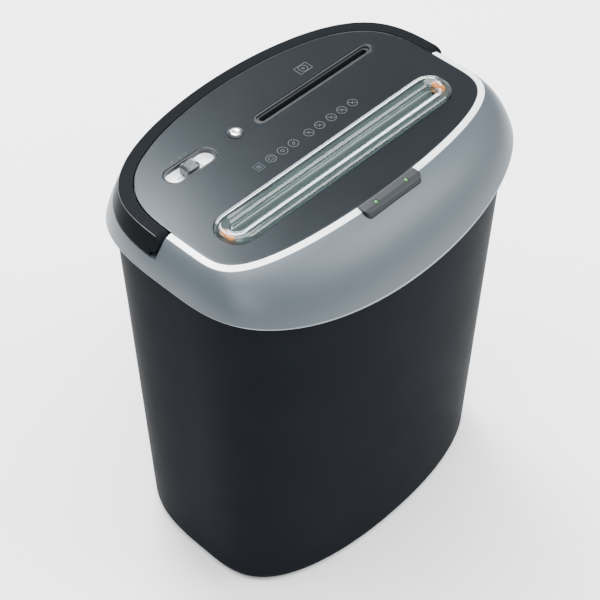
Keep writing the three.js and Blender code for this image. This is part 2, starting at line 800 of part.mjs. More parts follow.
const lathe = (profile, sides = 18) =>
  new THREE.LatheGeometry(
    profile.map(([radius, z]) => new THREE.Vector2(radius, z)),
    sides,
  ).rotateX(Math.PI / 2);

add(head, "switch_well", switchWell(), WHITE);
add(at(head, SWITCH.x, SWITCH.y, 0), "mode_knob", modeKnob(), SILVER);

const buttonAxis = at(head, BUTTON.x, BUTTON.y, 0);
const sleeve = BEZEL_RADIUS - 1;
const bore = BUTTON.radius + GAP;
const TACT_TOP = BOARD.top + TACT_SWITCH.height;
add(
  buttonAxis,
  "button_bezel",
  lathe([
    [bore, -6],
    [sleeve, -6],
    [sleeve, GAP],
    [BEZEL_RADIUS, GAP],
    [BEZEL_RADIUS - 0.3, 1],
    [bore + 0.3, 1.2],
    [bore, 0.8],
    [bore, -6],
  ]),
  BRIGHT,
);
add(
  buttonAxis,
  "power_button",
  lathe([
    [0, TACT_TOP + BUTTON_TRAVEL + GAP],
    [1.8, TACT_TOP + BUTTON_TRAVEL + GAP],
    [1.8, -7],
    [BUTTON.radius, -7],
    [BUTTON.radius, BUTTON.rise - 0.6],
    [BUTTON.radius - 0.8, BUTTON.rise],
    [1.4, BUTTON.rise - 0.3],
    [0, BUTTON.rise - 0.5],
  ]),
  BRIGHT,
);

// ---- Circuit board ----
add(
  head,
  "circuit_board",
  box(BOARD.left, BOARD.right, BOARD.front, BOARD.rear, BOARD.top - BOARD.thick, BOARD.top),
  BOARD_GREEN,
);

function onBoard(place, length, width, top) {
  const [x, y] = [length / 2, width / 2];
  return box(place.x - x, place.x + x, place.y - y, place.y + y, BOARD.top + GAP, top);
}

const slideSwitch = onBoard(SWITCH, SLIDE_SWITCH.length, SLIDE_SWITCH.width, SLIDE_SWITCH_TOP);
add(head, "slide_switch", slideSwitch, STEEL);
add(head, "tact_switch", onBoard(BUTTON, TACT_SWITCH.size, TACT_SWITCH.size, TACT_TOP), BLACK);
const capacitorLeft = BOARD.left + 24;
const capacitor = rod(CAPACITOR.radius, capacitorLeft, capacitorLeft + CAPACITOR.length);
capacitor.translate(0, BOARD.front + 7, BOARD.top + CAPACITOR.radius + GAP);
add(head, "capacitor", capacitor, AMBER);

// ---- Cutting mechanism ----
const plateOuter = PLATE_X + PLATE_THICK;
const planeIn = (plane) => plateOuter + GEAR_GAP + plane * (GEAR_THICK + GEAR_GAP);
const planeOut = (plane) => planeIn(plane) + GEAR_THICK;
const bushBore = JOURNAL_RADIUS + GAP;

// Centres of the gear train, from circles of the gears' pitch radii.
const driveReach = ((DRIVE_TEETH + STEP_SMALL_TEETH) * STEP_SMALL_MODULE) / 2;
const pinionReach = ((STEP_LARGE_TEETH + PINION_TEETH) * STEP_LARGE_MODULE) / 2;
const toMotor = new THREE.Vector2(MOTOR_Y - REAR_Y, MOTOR_Z - CUTTER_Z);
const along = (driveReach ** 2 - pinionReach ** 2 + toMotor.lengthSq()) / (2 * toMotor.length());
const aside = Math.sqrt(driveReach ** 2 - along ** 2);
const unit = toMotor.clone().normalize();
const step = new THREE.Vector2(unit.x * along - unit.y * aside, unit.y * along + unit.x * aside);
const STEP_Y = REAR_Y + step.x;
const STEP_Z = CUTTER_Z + step.y;
const stepAngle = step.angle();
const motorAngle = new THREE.Vector2(MOTOR_Y - STEP_Y, MOTOR_Z - STEP_Z).angle();
const facing = (angle, teeth) => angle + Math.PI + Math.PI / teeth; // a gap towards the other gear

const discReach = ((SYNC.teeth + DISC_DRIVE_TEETH) * SYNC.module) / 2;
const DISC_FRONT_Y = REAR_Y + Math.sqrt(discReach ** 2 - (DISC_Z - CUTTER_Z) ** 2);
const DISC_REAR_Y = DISC_FRONT_Y + discPairReach;
const discAngle = Math.atan2(DISC_Z - CUTTER_Z, DISC_FRONT_Y - REAR_Y);

const frontAxis = at(head, 0, FRONT_Y, CUTTER_Z);
const rearAxis = at(head, 0, REAR_Y, CUTTER_Z);
const stepAxis = at(head, 0, STEP_Y, STEP_Z);
const motorAxis = at(head, 0, MOTOR_Y, MOTOR_Z);
const discFrontAxis = at(head, 0, DISC_FRONT_Y, DISC_Z);
const discRearAxis = at(head, 0, DISC_REAR_Y, DISC_Z);

// Hooked teeth round a cutter disc: each tip drops straight to a root just past it.
function hooks(radius, depth) {
  const tips = circle(radius, HOOKS);
  const roots = circle(radius - depth, HOOKS, 0.2);
  return tips.flatMap((tip, i) => [tip, roots[i]]);
}

function cutterShaft(firstX, count, left, right) {
  const core = rod(CUTTER_CORE, -PLATE_X + 3, PLATE_X - 3, 10);
  const journal = rod(JOURNAL_RADIUS, left, right);
  const discs = [];
  for (let i = 0; i < count; i++) {
    const x = firstX + i * CUTTER_PITCH;
    discs.push(bar(hooks(CUTTER_RADIUS, 3), x - CUTTER_THICK / 2, x + CUTTER_THICK / 2));
  }
  return joined(core, journal, ...discs);
}

const gearBore = JOURNAL_RADIUS + GAP;
const halfRow = ((CUTTER_COUNT - 1) / 2) * CUTTER_PITCH;
const frontShaft = cutterShaft(-halfRow, CUTTER_COUNT, -planeIn(0) + 1, planeOut(0));
const rearFirst = -halfRow + CUTTER_PITCH / 2;
const rearShaft = cutterShaft(rearFirst, CUTTER_COUNT - 1, -planeOut(0), planeOut(1));
const frontSync = gear(SYNC.teeth, SYNC.module, planeIn(0), planeOut(0), gearBore, 0);
add(frontAxis, "cutter_shaft_front", frontShaft, STEEL);
add(rearAxis, "cutter_shaft_rear", rearShaft, STEEL);
add(frontAxis, "sync_gear_front", frontSync, STEEL);
add(
  rearAxis,
  "sync_gear_rear",
  gear(SYNC.teeth, SYNC.module, planeIn(0), planeOut(1), gearBore, facing(0, SYNC.teeth)),
  STEEL,
);
add(
  rearAxis,
  "drive_gear",
  gear(DRIVE_TEETH, STEP_SMALL_MODULE, -planeOut(0), -planeIn(0), gearBore, stepAngle),
  NYLON,
);

function stepGear() {
  const small = gear(
    STEP_SMALL_TEETH,
    STEP_SMALL_MODULE,
    -planeIn(1) - 0.5,
    -planeIn(0),
    0,
    facing(stepAngle, STEP_SMALL_TEETH),
  );
  const large = gear(STEP_LARGE_TEETH, STEP_LARGE_MODULE, -planeOut(1), -planeIn(1), 0, motorAngle);
  const axle = rod(MOTOR_AXLE, -planeOut(1) - 2, -PLATE_X + 1);
  return joined(small, large, axle);
}

function motorPinion() {
  const teeth = gear(
    PINION_TEETH,
    STEP_LARGE_MODULE,
    -planeOut(1),
    -planeIn(1),
    0,
    facing(motorAngle, PINION_TEETH),
  );
  return joined(teeth, rod(MOTOR_AXLE, -planeOut(1) - 1, -PLATE_X + 12));
}

function motor() {
  const front = -PLATE_X + GAP;
  const back = front + MOTOR_LENGTH;
  const axleBore = MOTOR_AXLE + 0.4;
  const body = [
    [axleBore, front],
    [10, front],
    [10, front + 3],
    [MOTOR_RADIUS - 2, front + 3],
    [MOTOR_RADIUS, front + 6],
    [MOTOR_RADIUS, back - 8],
    [MOTOR_RADIUS - 3, back - 5],
    [9, back - 5],
    [9, back],
    [0, back],
    [0, front + 14],
    [axleBore, front + 14],
    [axleBore, front],
  ];
  return new THREE.LatheGeometry(
    body.map(([radius, x]) => new THREE.Vector2(radius, x)),
    16,
  ).rotateZ(-Math.PI / 2);
}

add(stepAxis, "reduction_gear", stepGear(), NYLON);
add(motorAxis, "motor_pinion", motorPinion(), STEEL);
add(motorAxis, "motor", motor(), STEEL);

// ---- Disc cutters ----
const bracketOuter = DISC_BRACKET_X - PLATE_THICK;
const discBore = DISC_JOURNAL + GAP;

function discShaft(firstX, right) {
  const core = rod(DISC_CORE, DISC_BRACKET_X + 2, PLATE_X - 3, 12);
  const journal = rod(DISC_JOURNAL, bracketOuter - 4, right);
  const discs = [];
  for (let x = firstX; x < PLATE_X - 12; x += 24) {
    discs.push(bar(hooks(DISC_ROLL_RADIUS, 2), x - 4, x + 4));
  }
  return joined(core, journal, ...discs);
}

add(discFrontAxis, "disc_shaft_front", discShaft(4, planeOut(1)), STEEL);
add(discRearAxis, "disc_shaft_rear", discShaft(16, planeOut(0)), STEEL);
add(
  discFrontAxis,
  "disc_drive_gear",
  gear(DISC_DRIVE_TEETH, SYNC.module, planeIn(1), planeOut(1), discBore, discGearAngle()),
  STEEL,
);

// The rear sync gear's teeth are set by the front one, so this gear takes up their phase.
function discGearAngle() {
  const pitch = (2 * Math.PI) / SYNC.teeth;
  const share = (discAngle - facing(0, SYNC.teeth)) / pitch;
  const offset = share - Math.round(share);
  return discAngle + Math.PI + ((2 * Math.PI) / DISC_DRIVE_TEETH) * (0.5 + offset);
}

for (const [name, axis, phase] of [
  ["front", discFrontAxis, 0],
  ["rear", discRearAxis, facing(0, DISC_PAIR.teeth)],
]) {
  const teeth = gear(DISC_PAIR.teeth, DISC_PAIR.module, planeIn(0), planeOut(0), discBore, phase);
  add(axis, `disc_gear_${name}`, teeth, STEEL);
}

// ---- Frame of the mechanism ----
function sidePlate(side) {
  const [x0, x1] = side < 0 ? [-plateOuter, -PLATE_X] : [PLATE_X, plateOuter];
  const outlineYZ = [
    [PLATE.front + PLATE_CORNER, PLATE.bottom],
    [PLATE.rear - PLATE_CORNER, PLATE.bottom],
    [PLATE.rear, PLATE.bottom + PLATE_CORNER],
    [PLATE.rear, PLATE.top],
    [PLATE.front, PLATE.top],
    [PLATE.front, PLATE.bottom + PLATE_CORNER],
  ];
  const plate = bar(
    outlineYZ.map(([y, z]) => new THREE.Vector2(y, z)),
    x0,
    x1,
  );
  const hole = (radius, y, z, sides = 12) => rod(radius, x0 - 1, x1 + 1, sides).translate(0, y, z);
  const holes = [
    hole(BUSH_RADIUS + GAP, FRONT_Y, CUTTER_Z, 20),
    hole(BUSH_RADIUS + GAP, REAR_Y, CUTTER_Z, 20),
    ...TIE_RODS.map(([y, z]) => hole(TIE_RADIUS + GAP, y, z)),
  ];
  if (side < 0) {
    holes.push(hole(MOTOR_AXLE + RUNNING_GAP, STEP_Y, STEP_Z));
    holes.push(hole(MOTOR_AXLE + RUNNING_GAP, MOTOR_Y, MOTOR_Z));
  } else {
    holes.push(hole(DISC_JOURNAL + RUNNING_GAP, DISC_FRONT_Y, DISC_Z));
    holes.push(hole(DISC_JOURNAL + RUNNING_GAP, DISC_REAR_Y, DISC_Z));
  }
  return cutBy(solid(plate), ...holes);
}

add(head, "side_plate_left", sidePlate(-1), STEEL);
add(head, "side_plate_right", sidePlate(1), STEEL);

const bracket = box(
  bracketOuter,
  DISC_BRACKET_X,
  REAR_Y + CUTTER_RADIUS + 5,
  PLATE.rear - 12,
  PLATE.bottom,
  PLATE.top,
);
const bracketHoles = [DISC_FRONT_Y, DISC_REAR_Y].map((y) =>
  rod(DISC_JOURNAL + RUNNING_GAP, bracketOuter - 1, DISC_BRACKET_X + 1).translate(0, y, DISC_Z),
);
add(head, "disc_bracket", cutBy(solid(bracket), ...bracketHoles), STEEL);

for (const [i, [y, z]] of TIE_RODS.entries()) {
  add(at(head, 0, y, z), `tie_rod_${i + 1}`, rod(TIE_RADIUS, -plateOuter - 3, plateOuter + 3), STEEL);
}

const BUSH_PROUD = { inside: 1, outside: 0.8 };
for (const [place, axis] of [
  ["front", frontAxis],
  ["rear", rearAxis],
]) {
  for (const [end, side] of SIDES) {
    const reach = [side * (PLATE_X - BUSH_PROUD.inside), side * (plateOuter + BUSH_PROUD.outside)];
    const bush = rod(BUSH_RADIUS, Math.min(...reach), Math.max(...reach), 20, bushBore);
    add(axis, `bush_${place}_${end}`, bush, BRASS);
  }
}

// A bar with fingers that reach in between the cutter discs to clear them.
function comb(side, firstX, count) {
  const axisY = side < 0 ? FRONT_Y : REAR_Y;
  const far = axisY + side * (CUTTER_RADIUS + 1);
  const near = axisY + side * (CUTTER_CORE + 1.5);
  const back = far + side * 3;
  const half = PLATE_X - GAP;
  const span = (a, b) => [Math.min(a, b), Math.max(a, b)];
  const beam = box(-half, half, ...span(far, back), CUTTER_Z - 8, CUTTER_Z + 8);
  const fingers = [];
  for (let i = 0; i < count; i++) {
    const x = firstX + i * CUTTER_PITCH;
    fingers.push(box(x - 2, x + 2, ...span(far + side, near), CUTTER_Z - 5, CUTTER_Z + 5));
  }
  return joined(beam, ...fingers);
}

add(head, "comb_front", comb(-1, -halfRow + CUTTER_PITCH / 2, CUTTER_COUNT - 1), NYLON);
add(head, "comb_rear", comb(1, -halfRow, CUTTER_COUNT), NYLON);

// ---- Head base, its screws, the interlock and the cord gland ----
function headBase() {
  const inside = -BIN_WALL - BASE_CLEARANCE;
  const level = (grow, z) => ring(binPlan(HEIGHT + z), grow, z);
  const tray = loft([
    level(inside - 3, BASE_BOTTOM),
    level(inside, BASE_BOTTOM + 3),
    level(inside, BASE_TOP),
    level(inside - BASE_WALL, BASE_TOP),
    level(inside - BASE_WALL, BASE_BOTTOM + BASE_FLOOR + 2),
    level(inside - BASE_WALL - 2, BASE_BOTTOM + BASE_FLOOR),
  ]);
  const outlet = box(-OUTLET.x, OUTLET.x, OUTLET.front, OUTLET.rear, -FAR, BASE_BOTTOM + 10);
  const discOutlet = box(
    DISC_OUTLET.left,
    DISC_OUTLET.right,
    DISC_OUTLET.front,
    DISC_OUTLET.rear,
    -FAR,
    BASE_BOTTOM + 10,
  );
  const screwHoles = POSTS.map(([x, y]) => post(SCREW_RADIUS + GAP, x, y, -FAR, BASE_BOTTOM + 10, 10));
  const plungerHole = post(PLUNGER.radius + RUNNING_GAP, 0, PLUNGER.y, -FAR, BASE_BOTTOM + 10);
  return cutBy(solid(tray), outlet, discOutlet, ...screwHoles, plungerHole);
}

add(head, "head_base", headBase(), BLACK);
for (const [i, [x, y]] of POSTS.entries()) {
  const screw = lathe(
    [
      [0, -2.3],
      [2.5, -2.3],
      [3.6, -1.2],
      [3.6, -GAP],
      [SCREW_RADIUS, -GAP],
      [SCREW_RADIUS, SCREW_LENGTH - 1],
      [0, SCREW_LENGTH],
    ],
    12,
  );
  add(at(head, x, y, BASE_BOTTOM), `case_screw_${i + 1}`, screw, STEEL);
}

const switchFoot = BASE_BOTTOM + BASE_FLOOR + GAP;
const interlockBlock = box(
  -INTERLOCK.length / 2,
  INTERLOCK.length / 2,
  PLUNGER.y - INTERLOCK.width / 2,
  PLUNGER.y + INTERLOCK.width / 2,
  switchFoot,
  switchFoot + INTERLOCK.height,
);
const interlockBody = cutBy(
  solid(interlockBlock),
  post(PLUNGER.radius + RUNNING_GAP, 0, PLUNGER.y, -FAR, PLUNGER.top + PLUNGER_TRAVEL + 1),
);
add(head, "interlock_switch", interlockBody, BLACK);
add(
  at(head, 0, PLUNGER.y, 0),
  "interlock_plunger",
  lathe(
    [
      [0, PLUNGER.tip],
      [1.5, PLUNGER.tip],
      [PLUNGER.radius, PLUNGER.tip + 1],
      [PLUNGER.radius, PLUNGER.top],
      [0, PLUNGER.top],
    ],
    16,
  ),
  WHITE,
);

const flangeFoot = BOSS_FACE + GAP;
const glandRing = cutBy(
  joined(
    gland(GLAND.radius, BOSS_FACE - 12, flangeFoot + 1),
    gland(GLAND.flange, flangeFoot, flangeFoot + GLAND.thick),
  ),
  gland(GLAND.bore, BOSS_FACE - 60, BOSS_FACE + 20),
);
add(head, "cord_gland", glandRing, RUBBER);

export default shredder;
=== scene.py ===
# A deskside paper shredder: a silver-collared cutting head that lifts off a near-black waste bin.
import json
import math

import bmesh
import bpy
import numpy as np
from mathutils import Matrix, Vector


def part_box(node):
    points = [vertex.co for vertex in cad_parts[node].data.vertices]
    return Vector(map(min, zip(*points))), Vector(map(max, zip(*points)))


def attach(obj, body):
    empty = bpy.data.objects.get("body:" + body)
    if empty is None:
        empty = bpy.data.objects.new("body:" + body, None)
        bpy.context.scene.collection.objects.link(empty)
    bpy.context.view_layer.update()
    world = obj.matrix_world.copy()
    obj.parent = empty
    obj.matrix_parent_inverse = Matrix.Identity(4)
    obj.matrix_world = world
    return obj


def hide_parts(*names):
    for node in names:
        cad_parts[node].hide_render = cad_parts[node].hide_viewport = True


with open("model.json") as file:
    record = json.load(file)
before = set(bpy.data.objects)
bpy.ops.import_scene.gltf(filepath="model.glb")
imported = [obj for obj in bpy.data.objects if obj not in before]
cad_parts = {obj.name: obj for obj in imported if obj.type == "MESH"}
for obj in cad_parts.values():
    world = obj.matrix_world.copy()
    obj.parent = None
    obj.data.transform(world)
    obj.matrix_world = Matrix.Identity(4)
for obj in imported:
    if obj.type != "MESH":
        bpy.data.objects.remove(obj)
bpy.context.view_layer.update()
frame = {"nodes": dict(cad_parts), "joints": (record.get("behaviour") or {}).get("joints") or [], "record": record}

# ---- Waste bin ----
# A tapered tub moulded in near-black polypropylene, drawn from one rounded plan. It stands on a
# rounded foot edge, its rim follows the arch of the head's skirt, and a rib inside its rear wall
# meets the head's safety plunger.
PLAN_CORNERS = 192
PLAN_MIDDLE = -0.020  # where the plan is widest, along Y
collar_low, collar_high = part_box("collar")
deck_low, deck_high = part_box("top_panel")
DECK_TOP = deck_high.z
SKIRT = {
    "side": collar_high.x,
    "front": PLAN_MIDDLE - collar_low.y,
    "rear": collar_high.y - PLAN_MIDDLE,
    "side_curve": 2.1,
    "end_curve": 3.3,
}
SKIRT_END_DROP = 0.032
SKIRT_MID_DROP = 0.026
BIN_INSET = 0.0062
BIN_DRAFT = {"side": 0.0131, "front": 0.0081, "rear": 0.0113}
BIN_WALL = 0.003
BIN_RIM = DECK_TOP - 0.026
BIN_FOOT = 0.002
BIN_FLOOR = 0.0055
RIM_LAP = 0.006
FOOT_EDGE = {"inset": 0.006, "height": 0.010}
OUTER_LEVELS = (0.06, 0.13, 0.2, 0.27)
INNER_LEVELS = (0.27, 0.14)
POCKET_GAP = 0.0003


def plan_outline(plan, grow=0.0):
    """Corners of a rounded plan, grown outwards, evenly spaced from the front middle."""
    low, high = 0.5, 1.0
    while high - low > 1e-9:
        corner = (low + high) / 2
        if corner ** plan["side_curve"] + corner ** plan["end_curve"] < 1:
            low = corner
        else:
            high = corner
    up_the_side = np.linspace(0, low, 90)
    to_the_middle = np.linspace(low, 0, 90)
    along_x = (1 - up_the_side ** plan["end_curve"]) ** (1 / plan["side_curve"])
    along_y = (1 - to_the_middle ** plan["side_curve"]) ** (1 / plan["end_curve"])
    x = np.concatenate([along_x, to_the_middle[1:]])
    y = np.concatenate([up_the_side, along_y[1:]])
    side, front, rear = (plan[name] + grow for name in ("side", "front", "rear"))
    xs = side * np.concatenate([x[::-1], x[1:], -x[::-1][1:], -x[1:]])
    ys = np.concatenate([-y[::-1] * front, y[1:] * rear, y[::-1][1:] * rear, -y[1:] * front])
    walked = np.concatenate([[0], np.cumsum(np.hypot(np.diff(xs), np.diff(ys)))])
    stops = np.linspace(0, walked[-1], PLAN_CORNERS, endpoint=False)
    return np.column_stack([np.interp(stops, walked, xs), PLAN_MIDDLE + np.interp(stops, walked, ys)])


def plan_ring(plan, grow, z):
    """A level ring on a plan."""
    return [Vector((x, y, z)) for x, y in plan_outline(plan, grow)]


def bin_plan(z):
    """The tub's plan at a height: it draws in towards the floor."""
    drawn_in = 1 - z / BIN_RIM
    plan = dict(SKIRT)
    for name, draft in BIN_DRAFT.items():
        plan[name] = SKIRT[name] - BIN_INSET - draft * drawn_in
    return plan


def skirt_drop(x):
    """How far the skirt's lower edge hangs below the deck: deepest at the front and rear middle."""
    return SKIRT_END_DROP + SKIRT_MID_DROP * (1 - (x / SKIRT["side"]) ** 2)


def rim_ring(grow, lower):
    """A ring along the tub's arched rim."""
    ring = plan_ring(bin_plan(BIN_RIM), grow, 0)
    for corner in ring:
        corner.z = DECK_TOP - skirt_drop(corner.x) + RIM_LAP - lower
    return ring


def draw_up(name, rings, closed=False):
    """A ring of corners drawn up through the rest; a closed body joins its last ring to its first."""
    bpy.ops.object.select_all(action="DESELECT")
    bpy.ops.mesh.primitive_circle_add(vertices=len(rings[0]), radius=1)
    piece = bpy.context.object
    piece.name = piece.data.name = name
    bpy.ops.object.mode_set(mode="EDIT")
    bpy.ops.mesh.select_all(action="SELECT")
    mesh = bmesh.from_edit_mesh(piece.data)
    order = mesh.verts.layers.int.new("order")
    for corner in mesh.verts:
        corner[order] = corner.index
        corner.co = rings[0][corner.index]
    rest = rings[1:] + [rings[0]] if closed else rings[1:]
    for ring in rest:
        bpy.ops.mesh.extrude_region_move()
        mesh = bmesh.from_edit_mesh(piece.data)
        order = mesh.verts.layers.int["order"]
        for corner in mesh.verts:
            if corner.select:
                corner.co = ring[corner[order]]
    bmesh.update_edit_mesh(piece.data)
    bpy.ops.mesh.select_all(action="SELECT")
    bpy.ops.mesh.remove_doubles(threshold=1e-6)
    bpy.ops.mesh.fill_holes(sides=0)
    bpy.ops.mesh.select_all(action="SELECT")
    bpy.ops.mesh.normals_make_consistent(inside=False)
    bpy.ops.object.mode_set(mode="OBJECT")
    piece.data.attributes.remove(piece.data.attributes["order"])
    return piece


def bar_along_x(name, profile, x0, x1):
    """A bar of one section in Y and Z, drawn along X."""
    return draw_up(name, [[Vector((x, y, z)) for y, z in profile] for x in (x0, x1)])


def turned(name, profile, centre, corners=48, axis="Z"):
    """A round piece from radii and places along its axis, as off a lathe."""
    rings = []
    for radius, place in profile:
        ring = []
        for i in range(corners):
            turn = 2 * math.pi * i / corners
            across = (radius * math.cos(turn), radius * math.sin(turn))
            point = {
                "X": (place, *across),
                "Y": (across[1], place, across[0]),
                "Z": (*across, place),
            }[axis]
            ring.append(Vector(centre) + Vector(point))
        rings.append(ring)
    return draw_up(name, rings)


def plain_rod(radius, start, end):
    """The profile of a plain round rod, to be turned."""
    return [(0, start), (radius, start), (radius, end), (0, end)]


def apply_boolean(piece, other, operation):
    """Joins to the piece, or cuts from it, another solid, which is used up."""
    modifier = piece.modifiers.new("cut", "BOOLEAN")
    modifier.operation = operation
    modifier.solver = "EXACT"
    modifier.object = other
    bpy.context.view_layer.objects.active = piece
    bpy.ops.object.modifier_apply(modifier="cut")
    bpy.data.objects.remove(other)


def cut_away(piece, *others):
    """Cuts each of the others out of the piece."""
    for other in others:
        apply_boolean(piece, other, "DIFFERENCE")


def weld_on(piece, *others):
    """Joins each of the others to the piece."""
    for other in others:
        apply_boolean(piece, other, "UNION")


def smooth(piece, angle=35):
    """Smooth shading that breaks at edges sharper than the angle and leaves the flats flat."""
    bpy.ops.object.select_all(action="DESELECT")
    piece.select_set(True)
    bpy.context.view_layer.objects.active = piece
    bpy.ops.object.shade_smooth_by_angle(angle=math.radians(angle))
    modifier = piece.modifiers.new("flats", "WEIGHTED_NORMAL")
    modifier.keep_sharp = True
    bpy.ops.object.modifier_apply(modifier="flats")


def new_finish(name):
    """A material's nodes, links, shader and Object coordinates."""
    finish = bpy.data.materials.new(name)
    finish.use_nodes = True
    nodes, links = finish.node_tree.nodes, finish.node_tree.links
    shader = nodes["Principled BSDF"]
    place = nodes.new("ShaderNodeTexCoord").outputs["Object"]
    return finish, nodes, links, shader, place


def noise(nodes, links, place, size, detail=2.0):
    """A noise whose features are about that many metres across."""
    field = nodes.new("ShaderNodeTexNoise")
    field.inputs["Scale"].default_value = 1 / size
    field.inputs["Detail"].default_value = detail
    links.new(place, field.inputs["Vector"])
    return field.outputs["Fac"]


def tone(nodes, links, field, colour, spread, socket):
    """The colour, a little darker and lighter as the field wanders."""
    ramp = nodes.new("ShaderNodeValToRGB")
    for element, place, share in zip(ramp.color_ramp.elements, (0.3, 0.7), (1 - spread, 1 + spread)):
        element.position = place
        element.color = (*(min(1, channel * share) for channel in colour), 1)
    links.new(field, ramp.inputs["Fac"])
    links.new(ramp.outputs["Color"], socket)


def sheen_range(nodes, links, field, low, high, socket):
    """A roughness that wanders between two values."""
    span = nodes.new("ShaderNodeMapRange")
    span.inputs["From Min"].default_value = 0.3
    span.inputs["From Max"].default_value = 0.7
    span.inputs["To Min"].default_value = low
    span.inputs["To Max"].default_value = high
    links.new(field, span.inputs["Value"])
    links.new(span.outputs["Result"], socket)


def relief(nodes, links, field, depth, strength, shader):
    """Fine relief, that many metres deep."""
    bump = nodes.new("ShaderNodeBump")
    bump.inputs["Distance"].default_value = depth
    bump.inputs["Strength"].default_value = strength
    links.new(field, bump.inputs["Height"])
    links.new(bump.outputs["Normal"], shader.inputs["Normal"])


def moulded_plastic(name, colour, roughness, grain=0.0007, depth=0.00004, gloss=0.5):
    """Moulded plastic with a fine eroded grain and a sheen that wanders from place to place."""
    finish, nodes, links, shader, place = new_finish(name)
    tone(nodes, links, noise(nodes, links, place, 0.06), colour, 0.06, shader.inputs["Base Color"])
    wandering = noise(nodes, links, place, 0.025, 4)
    sheen_range(nodes, links, wandering, roughness - 0.02, roughness + 0.02, shader.inputs["Roughness"])
    relief(nodes, links, noise(nodes, links, place, grain, 3), depth, 0.35, shader)
    shader.inputs["IOR"].default_value = 1.49
    shader.inputs["Specular IOR Level"].default_value = gloss
    return finish


def dress(piece, finish):
    """Gives the whole piece one finish."""
    piece.data.materials.clear()
    piece.data.materials.append(finish)


foot_turns = [math.radians(10 * step) for step in range(10)]
foot_edge = [
    (-FOOT_EDGE["inset"] * (1 - math.sin(turn)), BIN_FOOT + FOOT_EDGE["height"] * (1 - math.cos(turn)))
    for turn in foot_turns
]
floor_corner = [(0, 0.016), (-0.0006, 0.0125), (-0.0022, 0.0085), (-0.0047, 0.0062)]
floor_corner += [(-0.008, BIN_FLOOR)]
rim_edge = [(0, 0.0012), (-0.0003, 0.0004), (-0.0010, 0), (-0.0020, 0)]
rim_edge += [(-0.0027, 0.0004), (-0.003, 0.0012)]
bin_rings = [plan_ring(bin_plan(z), grow, z) for grow, z in foot_edge]
bin_rings += [plan_ring(bin_plan(z), 0, z) for z in OUTER_LEVELS]
bin_rings += [rim_ring(grow, lower) for grow, lower in rim_edge]
bin_rings += [plan_ring(bin_plan(z), -BIN_WALL, z) for z in INNER_LEVELS]
bin_rings += [plan_ring(bin_plan(z), grow - BIN_WALL, z) for grow, z in floor_corner]
waste_bin = draw_up("waste_bin_shell", bin_rings)

plunger_low, plunger_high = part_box("interlock_plunger")
plunger_y = (plunger_low.y + plunger_high.y) / 2
RIB = {
    "top": plunger_low.z - 0.0005,
    "front": plunger_y - 0.008,
    "face": 0.003,
    "depth": 0.024,
    "half": 0.006,
}
rib_wall = PLAN_MIDDLE + bin_plan(RIB["top"])["rear"] - BIN_WALL / 2
rib_profile = [
    (RIB["front"], RIB["top"]),
    (RIB["front"], RIB["top"] - RIB["face"]),
    (rib_wall - 0.001, RIB["top"] - RIB["depth"]),
    (rib_wall, RIB["top"] - RIB["depth"]),
    (rib_wall, RIB["top"]),
]
weld_on(waste_bin, bar_along_x("rib", rib_profile, -RIB["half"], RIB["half"]))

feet = ["foot_front_left", "foot_front_right", "foot_rear_left", "foot_rear_right"]
foot_low, foot_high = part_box(feet[0])
FOOT_RADIUS = (foot_high.x - foot_low.x) / 2
FOOT_HEIGHT = foot_high.z
foot_places = {}
for foot in feet:
    low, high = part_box(foot)
    foot_places[foot] = ((low.x + high.x) / 2, (low.y + high.y) / 2, 0)
pocket = plain_rod(FOOT_RADIUS + POCKET_GAP, -0.001, FOOT_HEIGHT + POCKET_GAP)
for place in foot_places.values():
    cut_away(waste_bin, turned("pocket", pocket, place, 64))
smooth(waste_bin, 40)
black_tub = moulded_plastic("bin_plastic", (0.0078, 0.0092, 0.0115), 0.42, gloss=0.004)
dress(waste_bin, black_tub)
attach(waste_bin, "bin")
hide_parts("waste_bin")

# ---- Rubber feet ----
# Four round feet of dull black rubber, pressed into pockets under the tub's corners. Each is
# turned with a rounded tread edge and a shallow ring in its tread, so that it grips.
foot_profile = [
    (0, 0.0006),
    (FOOT_RADIUS - 0.0045, 0.0006),
    (FOOT_RADIUS - 0.0038, 0),
    (FOOT_RADIUS - 0.0010, 0),
    (FOOT_RADIUS - 0.0003, 0.0003),
    (FOOT_RADIUS, 0.0010),
    (FOOT_RADIUS, FOOT_HEIGHT - 0.0004),
    (FOOT_RADIUS - 0.0004, FOOT_HEIGHT),
    (0, FOOT_HEIGHT),
]
rubber = moulded_plastic("foot_rubber", (0.006, 0.006, 0.0065), 0.85, 0.0004, 0.00006, 0.15)
for foot, place in foot_places.items():
    pad = turned(foot + "_pad", foot_profile, place, 64)
    smooth(pad)
    dress(pad, rubber)
    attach(pad, "bin")
    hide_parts(foot)

# ---- Collar ----
# The head's cover: a flared skirt sprayed in blue-grey metallic paint, deeper at the front and
# rear middle than at its ends. It turns over at its lower edge, carries the deck on a ledge and
# stands on four posts, with a channel round its rear half for the handle.
GAP = 0.0003
TRIM_WIDTH = 0.0052
TRIM_FALL = 0.0014
DECK = {
    "side": deck_high.x,
    "front": PLAN_MIDDLE - deck_low.y,
    "rear": deck_high.y - PLAN_MIDDLE,
    "side_curve": 1.92,
    "end_curve": 4.28,
}
SKIN_INNER = TRIM_WIDTH + 2 * GAP
SKIN_TOP = -TRIM_FALL - GAP
COLLAR_WALL = 0.0025
COLLAR_LEDGE = 0.004
COLLAR_DEPTH = 0.022
SKIN_STEPS = 24
LIP_SHARE = 0.970
LIP_LIFT = 0.001
# How far up from the skirt's lower edge the painted highlight reaches, and how it grows with the skirt's drop.
LIP_HIGHLIGHT_BAND = 0.0005
LIP_HIGHLIGHT_SLOPE = 0.02
POST_RADIUS = 0.0045
POST_TOP = DECK_TOP - 0.02
PILOT_RADIUS = 0.002
PILOT_DEPTH = 0.017
BOSS_RADIUS = 0.011
BOSS_DEPTH = 0.008
BOSS_EDGE = 0.0006
GLAND_BORE = 0.0073
DECK_THICK = 0.003
